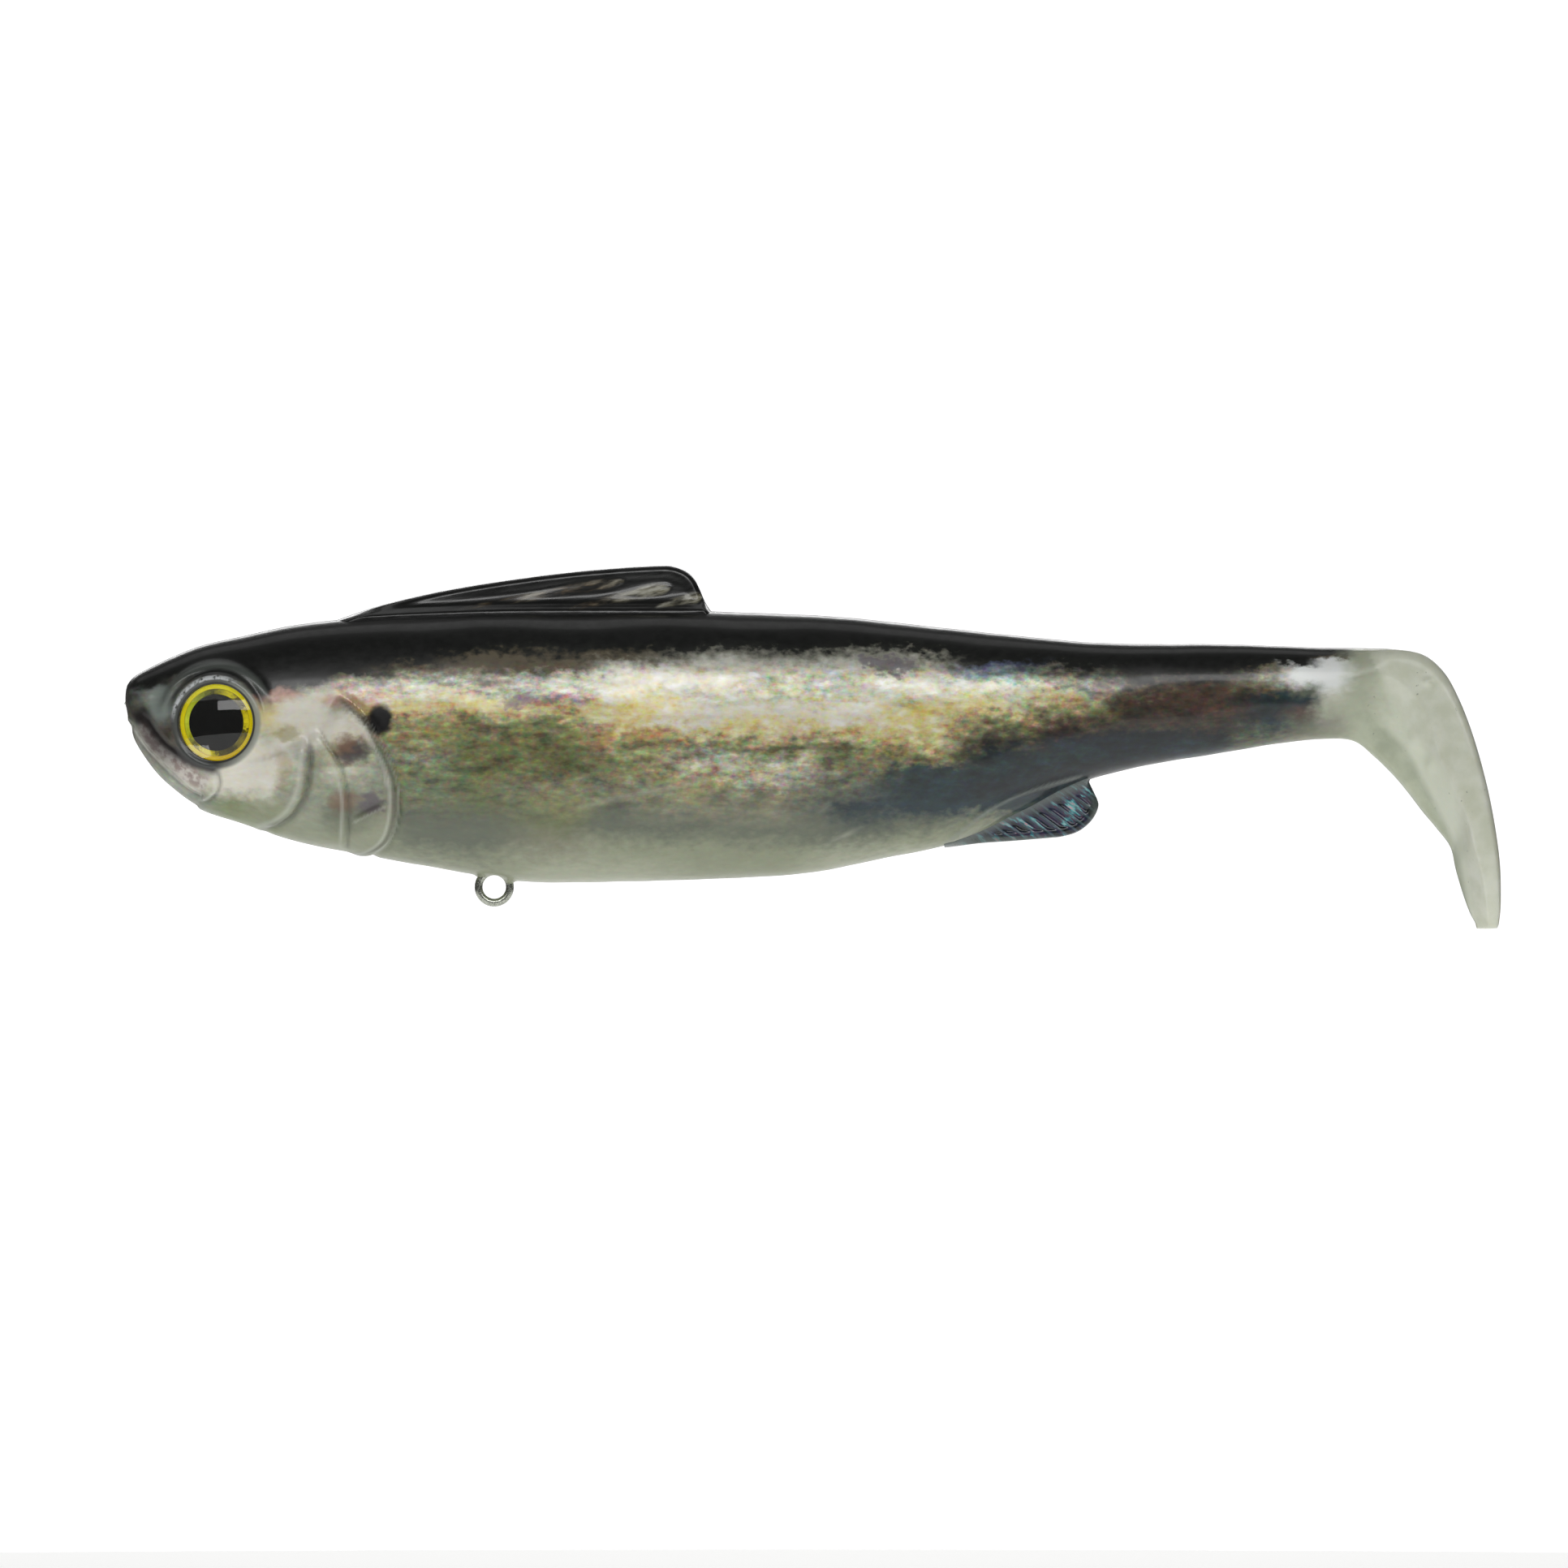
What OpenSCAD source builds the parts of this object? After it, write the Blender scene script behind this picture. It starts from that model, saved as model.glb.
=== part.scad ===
// Soft paddle-tail swimbait, about six inches long, with a line-through tube and a belly hook hanger.
// Row frame: millimetres, +Z up, nose towards -X, the fish's left flank towards -Y.
// The origin is the mouth of the line tube at the nose, on the plane of symmetry.

/* [Body casting] */
// Overall length, nose to tail end
body_length = 152.4; // [130:0.1:185]
// Deepest depth of the body, fins left out
body_depth = 29.85; // [25:0.05:36]
// Widest width of the body
body_width = 17.2; // [15:0.1:22]
// Widest width of the tail's paddle
paddle_width = 14.6; // [11:0.1:18]
// How far the soft nose stands ahead of the tube's mouth
nose_lip = 0.45; // [0.3:0.05:0.8]

/* [Flex lines] */
// Place of the first flex line, behind the nose tip
flex_1_x = 79; // [76:0.5:84]
// Place of the second flex line, behind the anal fin
flex_2_x = 114.5; // [112:0.5:117]
// Place of the third flex line, in the narrow tail stock
flex_3_x = 130; // [128:0.5:132]
// Largest bend at the first line, each way, in degrees
flex_1_swing = 12; // [5:1:15]
// Largest bend at the second line, each way, in degrees
flex_2_swing = 22; // [10:1:28]
// Largest bend at the third line, each way, in degrees
flex_3_swing = 38; // [20:1:45]
// Room between the two faces of a flex line
flex_gap = 0.25; // [0.15:0.05:0.5]

/* [Dorsal fin] */
// Where the fin's base begins, behind the nose tip
dorsal_x = 23; // [20:0.5:26]
// Length of the base
dorsal_length = 42; // [36:0.5:46]
// Height above its base
dorsal_height = 5.2; // [4:0.1:8]
// Thickness of the web
dorsal_thick = 1.6; // [1:0.1:2.4]

/* [Anal fin] */
// Where the fin's base begins, behind the nose tip
anal_x = 92; // [90:0.5:93]
// Length of the base
anal_length = 16.2; // [13:0.1:17.5]
// Height of the leading edge over one length of base
anal_flare = 0.36; // [0.25:0.01:0.45]
// Radius of the round rear lobe
anal_lobe = 3.1; // [2.4:0.1:3.6]
// Thickness of the web
anal_thick = 1.2; // [0.8:0.1:1.6]

/* [Fin roots] */
// Largest fold of each fin to either side, in degrees
fin_fold = 35; // [15:1:40]
// Room round a fin's root
fin_gap = 0.2; // [0.15:0.05:0.35]
// Depth of a fin's fold line below the body's surface
fin_root_depth = 0.6; // [0.4:0.05:0.9]

/* [Eyes] */
// Diameter of an eye
eye_d = 8.5; // [7:0.1:9]
// Diameter of the pupil
pupil_d = 6; // [4:0.1:6.4]
// Place of the eyes, behind the nose tip
eye_x = 10.3; // [9:0.1:13]
// Height of the eyes above the nose
eye_z = -2.9; // [-5:0.1:-1]
// Turn of the eyes towards the nose, in degrees
eye_turn = 15; // [8:1:20]
// Depth of the socket's floor below the skin
socket_depth = 1.1; // [0.9:0.05:1.6]
// Thickness of the adhesive pad
pad_thick = 0.3; // [0.2:0.05:0.5]
// Thickness of the foil disc
foil_thick = 0.25; // [0.15:0.05:0.4]
// Thickness of the printed pupil
pupil_thick = 0.15; // [0.1:0.05:0.25]
// Height of the clear dome's straight edge
dome_edge = 0.5; // [0.35:0.05:0.8]
// Rise of the clear dome above its edge
dome_rise = 1.1; // [0.8:0.05:1.6]

/* [Line tube] */
// Bore of the tube
tube_bore = 1.2; // [0.9:0.1:1.6]
// Outer diameter of the tube
tube_od = 1.9; // [1.7:0.1:2.4]
// Length of the tube
tube_length = 34; // [30:0.5:35]
// Fall of the tube from nose to belly, in degrees
tube_fall = 29; // [28:0.5:31]

/* [Hook hanger] */
// Wire diameter
wire_d = 0.9; // [0.7:0.05:1.2]
// Bore of the ring
ring_bore = 2.6; // [2.2:0.1:3.2]
// Width of the flat land worn inside the ring
ring_land = 0.32; // [0.2:0.02:0.4]
// Place of the ring, behind the nose tip
ring_x = 41; // [40:0.5:45]
// Drop of the ring's centre below the belly
ring_drop = 1; // [0.5:0.05:1.2]
// Space between the shank's two wires
shank_gap = 0.1; // [0.05:0.05:0.3]
// Length of each foot that anchors the shank
foot_length = 2.2; // [1.5:0.1:2.4]

/* [Ballast] */
// Diameter of the keel weight
ballast_d = 6.6; // [5:0.1:7.5]
// Overall length of the keel weight
ballast_length = 24.6; // [18:0.2:28]
// Height of the weight's axis above the belly at the ring
ballast_lift = 5; // [4.6:0.1:6]
// How far the weight's front end stands ahead of the ring
ballast_lead = 2.8; // [2.4:0.1:3.4]

/* [Hidden] */

cast_gap = 0.02;    // between a cast part and what it is cast round
far = 400;          // longer than anything here
past_skin = 20;     // how far a cutter reaches past the casting's surface
past_end = 1;       // how far a cutter or a raw solid reaches past an end that is cut clean
ring_points = 24;   // points round one cross-section
steps_per_row = 3;  // cross-sections made for each row of the outline
round_fn = 48;      // drawn fineness of round things, which are true curves in the solid

// Outline of the fish from nose to tail end. Each row is one cross-section:
// [x of its upper end, z of its upper end, x of its lower end, z of its lower end, half width,
//  level of the widest point from lower to upper end, squareness above it, squareness below it].
// x is a percentage of the length, z of the depth and the half width of its largest value.
OUTLINE = [
    [0.00,   0.8,  0.00,  -0.8,   4, 0.50, 2.0, 2.0],
    [0.25,   4.4,  0.25,  -6.5,  19, 0.55, 2.0, 2.0],
    [0.8,    7.6,  0.45, -15.3,  31, 0.60, 2.0, 2.0],
    [1.7,   10.2,  1.7,  -25.5,  40, 0.60, 2.0, 2.0],
    [3.3,   14.2,  3.3,  -34,    51, 0.56, 2.1, 2.1],
    [5.6,   18.8,  5.6,  -42,    62, 0.52, 2.2, 2.2],
    [8.5,   22.2,  8.5,  -47,    72, 0.50, 2.2, 2.2],
    [12.5,  26.5,  12.5, -53.7,  82, 0.50, 2.2, 2.2],
    [17.7,  29.3,  17.7, -59,    92, 0.51, 2.2, 2.2],
    [25,    31,    25,   -65.7,  99, 0.53, 2.2, 2.2],
    [30,    31.5,  30,   -69,   100, 0.54, 2.2, 2.2],
    [37,    31.6,  37,   -68.5, 100, 0.54, 2.2, 2.2],
    [44,    31.4,  44,   -67.5,  96, 0.54, 2.2, 2.2],
    [50,    30,    50,   -65.3,  90, 0.54, 2.2, 2.2],
    [55,    28,    55,   -60.2,  83, 0.54, 2.2, 2.2],
    [60,    25.3,  60,   -55,    76, 0.54, 2.2, 2.2],
    [64.6,  22.6,  64.6, -44.7,  68, 0.54, 2.2, 2.2],
    [69.2,  20.3,  69.2, -32.9,  61, 0.53, 2.2, 2.2],
    [73.5,  19.6,  73.5, -26.4,  55, 0.53, 2.2, 2.2],
    [78.7,  19.3,  78.7, -21.8,  49, 0.53, 2.2, 2.2],
    [83.3,  18.8,  83.3, -18,    45, 0.53, 2.2, 2.2],
    [87.3,  18.1,  87.3, -15.8,  43, 0.53, 2.2, 2.2],
];

// The boot-shaped tail goes on from there. Its half width is a percentage of the paddle's.
BOOT = [
    [90.2,  17.9,  89.4, -16.6,  53, 0.54, 2.2, 2.0],
    [92.5,  17.4,  90.9, -22.5,  59, 0.58, 2.4, 1.7],
    [94.4,  15.4,  92.3, -29.5,  67, 0.64, 2.8, 1.45],
    [95.8,   9.4,  93.4, -36.2,  77, 0.68, 3.2, 1.3],
    [96.8,   0.7,  94.4, -42.9,  86, 0.71, 3.6, 1.2],
    [97.8, -12,    95.4, -49,    95, 0.72, 4.0, 1.2],
    [98.7, -27.5,  96.4, -55.9, 100, 0.72, 4.0, 1.3],
    [99.4, -43.6,  96.8, -64.3,  99, 0.68, 4.0, 1.6],
    [99.9, -61,    97.3, -73,    89, 0.60, 3.6, 2.2],
    [100,  -75.7,  97.8, -80,    71, 0.55, 3.2, 2.8],
    [99.9, -83.5,  98.2, -84.7,  53, 0.50, 3.0, 3.0],
    [99.4, -85.8,  98.5, -85.8,  41, 0.50, 2.6, 2.6],
];

// One row in millimetres, in the row frame.
function placed(row, half_width) = [
    row[0]/100*body_length - nose_lip, row[1]/100*body_depth,
    row[2]/100*body_length - nose_lip, row[3]/100*body_depth,
    row[4]/100*half_width, row[5], row[6], row[7]];
ROWS = [for (r = OUTLINE) placed(r, body_width/2), for (r = BOOT) placed(r, paddle_width/2)];
LAST_ROW = len(ROWS) - 1;

// A smooth curve through the rows, at a row number that needn't be whole.
function at_row(t) =
    let (
        i = min(floor(t), LAST_ROW - 1),
        u = t - i,
        a = ROWS[max(i - 1, 0)],
        b = ROWS[i],
        c = ROWS[i + 1],
        d = ROWS[min(i + 2, LAST_ROW)]
    )
    b + u*((c - a)/2 + u*((a - 5*b/2 + 2*c - d/2) + u*(3*b/2 - 3*c/2 + d/2 - a/2)));

// The row number at a place behind the nose tip, between rows of the body.
function row_of(x, i = 0) =
    (i >= LAST_ROW - 1 || ROWS[i + 1][0] >= x - nose_lip) ?
        i + (x - nose_lip - ROWS[i][0])/(ROWS[i + 1][0] - ROWS[i][0]) : row_of(x, i + 1);

function back_z(x) = at_row(row_of(x))[1];
function belly_z(x) = at_row(row_of(x))[3];

// Half width of the body at a place behind the nose tip and a height.
function flank_y(x, z) =
    let (
        r = at_row(row_of(x)),
        middle = r[3] + r[5]*(r[1] - r[3]),
        above = z > middle,
        share = abs(z - middle)/(above ? r[1] - middle : middle - r[3]),
        n = above ? r[6] : r[7]
    )
    r[4]*pow(1 - pow(share, n), 1/n);

// The points of one cross-section, which lies in the plane through its two ends and across the fish.
function section(r) =
    let (
        low = [r[2], r[3]],
        high = [r[0], r[1]],
        middle = low + r[5]*(high - low)
    )
    [for (k = [0:ring_points - 1])
        let (
            angle = 360*k/ring_points,
            up = cos(angle),
            out = sin(angle),
            n = up > 0 ? r[6] : r[7],
            along = middle + pow(abs(up), 2/n)*((up > 0 ? high : low) - middle)
        )
        [along[0], r[4]*sign(out)*pow(abs(out), 2/n), along[1]]];

// The fish between two row numbers, as one closed solid.
module loft(from, to) {
    count = max(2, ceil((to - from)*steps_per_row));
    rings = [for (i = [0:count]) section(at_row(from + (to - from)*i/count))];
    n = ring_points;
    polyhedron(
        points = [for (ring = rings) each ring],
        faces = [
            [for (k = [0:n - 1]) k],
            for (i = [0:count - 1], k = [0:n - 1])
                let (
                    a = i*n + k,
                    b = i*n + (k + 1)%n,
                    c = (i + 1)*n + (k + 1)%n,
                    d = (i + 1)*n + k
                )
                each [[a, d, c], [a, c, b]],
            [for (k = [n - 1:-1:0]) count*n + k],
        ]);
}

// Flex lines, as [place, swing]. A knuckle of the piece behind turns in a socket of the piece ahead.
FLEX_1 = [flex_1_x, flex_1_swing];
FLEX_2 = [flex_2_x, flex_2_swing];
FLEX_3 = [flex_3_x, flex_3_swing];
knuckle_share = 0.7;  // knuckle radius over the body's half width there
notch_spare = 1;      // degrees of room past half the swing
function knuckle_r(flex) = knuckle_share*at_row(row_of(flex[0]))[4];

// Plan of what one piece gives up at a flex line: way is -1 for the piece behind, 1 for the piece ahead.
module far_side(flex, way) {
    spread = 90 + way*(flex[1]/2 + notch_spare);
    translate([flex[0] - nose_lip, 0])
        polygon([
            [0, 0],
            [far*cos(spread), far*sin(spread)],
            [way*far, far*sin(spread)],
            [way*far, -far*sin(spread)],
            [far*cos(spread), -far*sin(spread)],
        ]);
}
module knuckle_plan(flex, room = 0) {
    translate([flex[0] - nose_lip, 0]) circle(knuckle_r(flex) + room, $fn = round_fn);
}

// Cuts a child to the plan of one segment, from the flex line ahead of it to the one behind it.
module segment(ahead, behind) {
    difference() {
        children();
        if (!is_undef(ahead))
            translate([0, 0, -far/2])
                linear_extrude(far)
                    difference() {
                        far_side(ahead, -1);
                        knuckle_plan(ahead);
                    }
        if (!is_undef(behind)) {
            translate([0, 0, -far/2]) linear_extrude(far) far_side(behind, 1);
            translate([0, 0, -far/2]) linear_extrude(far) knuckle_plan(behind, flex_gap);
        }
    }
}

// How far past a flex line a segment's raw solid has to reach.
function reach(flex) = knuckle_r(flex) + flex_gap + past_end;

root_spare = 0.2;   // how far a fin's round root stands out of its web on each side
slot_open = 10;     // height of the room over a fin's root
slope_share = 0.9;  // share of the anal fin's base that its slope is taken over

// Frame of a fin: its child's +X runs along the fold line to the rear and +Z stands out from the body.
DORSAL_START = [dorsal_x - nose_lip, back_z(dorsal_x) - fin_root_depth];
DORSAL_END = [dorsal_x + dorsal_length - nose_lip, back_z(dorsal_x + dorsal_length) - fin_root_depth];
ANAL_START = [anal_x - nose_lip, belly_z(anal_x) + fin_root_depth];
anal_run = slope_share*anal_length;
ANAL_SLOPE = atan2(belly_z(anal_x + anal_run) - belly_z(anal_x), anal_run);
DORSAL_SLOPE = atan2(DORSAL_END[1] - DORSAL_START[1], DORSAL_END[0] - DORSAL_START[0]);
module on_back() {
    translate([DORSAL_START[0], 0, DORSAL_START[1]]) rotate([0, -DORSAL_SLOPE, 0]) children();
}
module on_belly() {
    translate([ANAL_START[0], 0, ANAL_START[1]]) rotate([0, -ANAL_SLOPE, 0]) mirror([0, 0, 1]) children();
}

// A soft fin: a thin web that grows out of a round root.
module fin(outline, length, thick) {
    rotate([90, 0, 0]) translate([0, 0, -thick/2]) linear_extrude(thick) polygon(outline);
    rotate([0, 90, 0]) cylinder(d = thick + 2*root_spare, h = length, $fn = round_fn);
}

// The room that a fin's root and its fold need in the body.
module fin_slot(length, thick) {
    r = thick/2 + root_spare + fin_gap;
    foot = r/cos(fin_fold);
    mouth = foot + slot_open*tan(fin_fold);
    translate([-fin_gap, 0, 0]) rotate([0, 90, 0]) {
        cylinder(r = r, h = length + 2*fin_gap, $fn = round_fn);
        linear_extrude(length + 2*fin_gap)
            polygon([
                [0, -foot],
                [0, foot],
                [-slot_open, mouth],
                [-slot_open, -mouth],
            ]);
    }
}

// Dorsal outline: a long rising front edge, and a short round rear edge.
peak_share = 0.88;   // place of the highest point over the base's length
rise_curve = 1.75;   // how early the front edge rises: 1 is a straight edge
fall_curve = 1.5;    // how hollow the rear edge is: 1 is a quarter ellipse
dorsal_peak = peak_share*dorsal_length;
dorsal_top = dorsal_height + fin_root_depth;
DORSAL_EDGE = [
    for (u = [0:0.1:1])
        [u*dorsal_peak, dorsal_top*(1 - pow(1 - u, rise_curve))],
    for (a = [15:15:90])
        [dorsal_peak + (dorsal_length - dorsal_peak)*sin(a), dorsal_top*pow(cos(a), fall_curve)],
];
// Anal outline: a straight front edge, and a round rear lobe.
lobe_sink = 0.92;    // how far the lobe's centre lies inside the front edge's line, over its radius
anal_tuck = 0.3;     // how far the outline stops short of the root's rear end
lobe_x = anal_length - anal_lobe;
lobe_z = anal_flare*lobe_x + fin_root_depth - lobe_sink*anal_lobe;
ANAL_EDGE = [
    [0, 0],
    for (a = [105:-15:-15]) [lobe_x + anal_lobe*cos(a), lobe_z + anal_lobe*sin(a)],
    [anal_length - anal_tuck, 0],
];

module dorsal_fin() {
    color("#17181a") on_back() fin(DORSAL_EDGE, dorsal_length, dorsal_thick);
}
module anal_fin() {
    color("#3c5059") on_belly() fin(ANAL_EDGE, anal_length, anal_thick);
}

// Frame of an eye: its child's +Z points out of the head, and z = 0 is the socket's floor.
module on_eye(side) {
    mirror([0, side == "right" ? 1 : 0, 0])
        translate([eye_x - nose_lip, -flank_y(eye_x, eye_z), eye_z])
            rotate([0, 0, -eye_turn])
                rotate([90, 0, 0])
                    translate([0, 0, -socket_depth])
                        children();
}
module eye_socket(side) {
    on_eye(side) cylinder(d = eye_d + 2*cast_gap, h = past_skin, $fn = round_fn);
}
module eye_pad(side) {
    color("#b8b8b0") on_eye(side) cylinder(d = eye_d, h = pad_thick, $fn = round_fn);
}
module eye_foil(side) {
    color("#d8b410") on_eye(side)
        translate([0, 0, pad_thick]) cylinder(d = eye_d, h = foil_thick, $fn = round_fn);
}
module eye_pupil(side, room = 0) {
    color("#0a0a0a") on_eye(side)
        translate([0, 0, pad_thick + foil_thick])
            cylinder(d = pupil_d + 2*room, h = pupil_thick + room, $fn = round_fn);
}
module eye_dome(side) {
    dome_h = dome_edge + dome_rise;
    dome_r = (pow(eye_d/2, 2) + pow(dome_rise, 2))/(2*dome_rise);
    color("#e8ead8", 0.4) difference() {
        on_eye(side)
            translate([0, 0, pad_thick + foil_thick])
                intersection() {
                    cylinder(d = eye_d, h = dome_h, $fn = round_fn);
                    translate([0, 0, dome_h - dome_r]) sphere(dome_r, $fn = 2*round_fn);
                }
        eye_pupil(side, cast_gap);
    }
}

// The line tube: its mouth is the origin, and it falls towards the belly.
module along_line() {
    rotate([0, 90 + tube_fall, 0]) children();
}
module line_tube() {
    color("#d8dcd4") along_line()
        difference() {
            cylinder(d = tube_od, h = tube_length, $fn = round_fn);
            translate([0, 0, -past_end])
                cylinder(d = tube_bore, h = tube_length + 2*past_end, $fn = round_fn);
        }
}
module line_way() {
    along_line() translate([0, 0, -past_skin])
        cylinder(d = tube_od + 2*cast_gap, h = tube_length + 2*past_skin, $fn = round_fn);
}

// The hook hanger: a wire ring whose two ends rise as a shank and turn out into feet.
RING = [ring_x - nose_lip, belly_z(ring_x) - ring_drop];
// Depth of wire that the land takes off.
land_cut = wire_d/2 - sqrt(pow(wire_d/2, 2) - pow(ring_land/2, 2));
wire_ring_r = ring_bore/2 + wire_d/2 - land_cut;
shank_x = (wire_d + shank_gap)/2;
shank_sink = wire_d/4;   // how deep the shank's wires run into the ring
shank_d = 0.97*wire_d;   // the wire is drawn a little thinner where it is bent
elbow_d = 1.01*wire_d;   // and is upset to a bead at each elbow
BALLAST_Z = belly_z(ring_x) + ballast_lift;
module on_ring() {
    translate([RING[0], 0, RING[1]]) children();
}
module hanger_shank(room = 0) {
    rise = BALLAST_Z - RING[1];
    for (way = [-1, 1]) {
        translate([way*shank_x, 0, wire_ring_r - shank_sink])
            cylinder(d = shank_d + 2*room, h = rise - wire_ring_r + shank_sink, $fn = round_fn);
        translate([way*shank_x, 0, rise]) {
            sphere(d = elbow_d + 2*room, $fn = round_fn);
            rotate([0, way*90, 0]) cylinder(d = shank_d + 2*room, h = foot_length + room, $fn = round_fn);
        }
    }
}
module hanger_wire() {
    color("#c9ccc4") on_ring() {
        rotate([90, 0, 0])
            rotate_extrude($fn = 2*round_fn)
                intersection() {
                    translate([wire_ring_r, 0]) circle(d = wire_d, $fn = round_fn);
                    translate([ring_bore/2, -wire_d]) square(2*wire_d);
                }
        hanger_shank();
    }
}
// The room that the hanger needs in the casting, with its ring's hole kept clear.
module hanger_seat() {
    on_ring() {
        rotate([90, 0, 0])
            rotate_extrude($fn = 2*round_fn)
                translate([wire_ring_r, 0]) circle(d = wire_d + 2*cast_gap, $fn = round_fn);
        rotate([90, 0, 0]) cylinder(r = wire_ring_r, h = body_width, center = true, $fn = round_fn);
        hanger_shank(cast_gap);
    }
}

// The keel weight, cast round the shank's feet.
module keel_weight(room = 0) {
    r = ballast_d/2 + room;
    straight = ballast_length - ballast_d;
    translate([RING[0] - ballast_lead + ballast_d/2, 0, BALLAST_Z]) {
        sphere(r, $fn = round_fn);
        rotate([0, 90, 0]) cylinder(r = r, h = straight, $fn = round_fn);
        translate([straight, 0, 0]) sphere(r, $fn = round_fn);
    }
}
module ballast_weight() {
    color("#6d7075") difference() {
        keel_weight();
        on_ring() hanger_shank(cast_gap);
    }
}

// The four segments of the casting.
module body_front() {
    color("#8f9180") difference() {
        segment(undef, FLEX_1) loft(0, row_of(flex_1_x + past_end));
        on_back() fin_slot(dorsal_length, dorsal_thick);
        eye_socket("left");
        eye_socket("right");
        line_way();
        hanger_seat();
        keel_weight(cast_gap);
    }
}
module rear_body() {
    color("#767c70") difference() {
        segment(FLEX_1, FLEX_2) loft(row_of(flex_1_x - reach(FLEX_1)), row_of(flex_2_x + past_end));
        on_belly() fin_slot(anal_length, anal_thick);
    }
}
module tail_stock() {
    color("#4c4d4a")
        segment(FLEX_2, FLEX_3) loft(row_of(flex_2_x - reach(FLEX_2)), row_of(flex_3_x + past_end));
}
module boot_tail() {
    color("#b9c0aa")
        segment(FLEX_3, undef) loft(row_of(flex_3_x - reach(FLEX_3)), LAST_ROW);
}

body_front();
rear_body();
tail_stock();
boot_tail();
dorsal_fin();
anal_fin();
line_tube();
ballast_weight();
hanger_wire();
eye_pad("left");  // eye_pad_left
eye_foil("left");  // eye_foil_left
eye_pupil("left");  // eye_pupil_left
eye_dome("left");  // eye_dome_left
eye_pad("right");  // eye_pad_right
eye_foil("right");  // eye_foil_right
eye_pupil("right");  // eye_pupil_right
eye_dome("right");  // eye_dome_right
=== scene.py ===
# %% [markdown]
# # A soft paddle-tail swimbait
#
# The bait is one casting in soft plastic with a hard line tube, a keel weight and a wire hanger
# cast into it, and with two domed eyes glued on. The frame holds those parts at their real places.
# This lesson gives them their looks: a modelled skin over the frame's plain segments, soft fins,
# faceted eyes, and a finish for every surface.

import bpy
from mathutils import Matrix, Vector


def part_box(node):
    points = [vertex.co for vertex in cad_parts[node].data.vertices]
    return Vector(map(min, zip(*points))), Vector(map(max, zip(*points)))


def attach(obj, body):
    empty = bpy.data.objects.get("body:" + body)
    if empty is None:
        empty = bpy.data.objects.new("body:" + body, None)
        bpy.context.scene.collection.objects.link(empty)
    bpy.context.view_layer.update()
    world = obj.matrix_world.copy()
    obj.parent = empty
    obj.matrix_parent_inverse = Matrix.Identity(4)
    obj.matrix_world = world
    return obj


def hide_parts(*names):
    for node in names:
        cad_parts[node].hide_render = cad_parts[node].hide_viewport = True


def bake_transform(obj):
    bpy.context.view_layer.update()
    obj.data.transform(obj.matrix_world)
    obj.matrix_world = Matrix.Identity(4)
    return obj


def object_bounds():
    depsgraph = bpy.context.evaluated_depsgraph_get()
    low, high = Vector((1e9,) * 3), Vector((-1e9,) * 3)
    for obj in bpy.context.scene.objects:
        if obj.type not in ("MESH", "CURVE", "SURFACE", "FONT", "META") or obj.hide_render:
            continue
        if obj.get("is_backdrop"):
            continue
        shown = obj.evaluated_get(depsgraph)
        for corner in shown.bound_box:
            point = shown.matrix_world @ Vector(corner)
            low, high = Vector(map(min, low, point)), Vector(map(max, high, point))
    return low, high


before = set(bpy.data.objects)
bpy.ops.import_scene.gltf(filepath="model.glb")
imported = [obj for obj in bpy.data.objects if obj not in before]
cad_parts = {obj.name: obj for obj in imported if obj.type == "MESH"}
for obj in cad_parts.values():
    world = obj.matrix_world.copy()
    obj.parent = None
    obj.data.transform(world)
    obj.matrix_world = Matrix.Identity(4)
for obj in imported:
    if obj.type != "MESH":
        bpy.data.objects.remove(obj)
cad_low, cad_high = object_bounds()
print("frame box in mm:", [round(v * 1000, 1) for v in (*cad_low, *cad_high)])

# %% [markdown]
# The other modules come after the frame. numpy does the shaping, because a skin has tens of
# thousands of points, and a loop over each of them in Python would be slow.

# %% Modules and units
import math

import bmesh
import bpy
import numpy as np
from mathutils import Vector
from mathutils.kdtree import KDTree

MM = 0.001  # everything below is in millimetres, and is turned to metres when a mesh is made

# %% [markdown]
# Colours are written as sRGB hex values, as a paint chart gives them. Blender's shaders count in
# linear light, so one function turns one into the other.


# %% Colours
def linear(colour):
    """A hex colour such as "#c9ae72" as linear red, green, blue and alpha."""
    channels = [int(colour[i:i + 2], 16) / 255 for i in (1, 3, 5)]
    return (*[c / 12.92 if c <= 0.04045 else ((c + 0.055) / 1.055) ** 2.4 for c in channels], 1.0)


print("mid grey in linear light:", round(linear("#808080")[0], 3))

# %% [markdown]
# A material is a small graph of nodes. One function adds a node, gives it its settings and feeds
# its inputs, and hands back the output that the next node wants. The two sets of settings below are
# used again and again: colours that mix, and values that pass from one to another on an even curve.

# %% Nodes
COLOURS = {"out": 2, "data_type": "RGBA"}  # a Mix node's colours are its inputs 6 and 7
EVEN = {"interpolation_type": "SMOOTHSTEP"}  # a MapRange node's inputs: value, start, end, low, high


def as_colour(value):
    """A hex string as a colour. Any other value stays as it is."""
    return linear(value) if isinstance(value, str) else value


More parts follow.
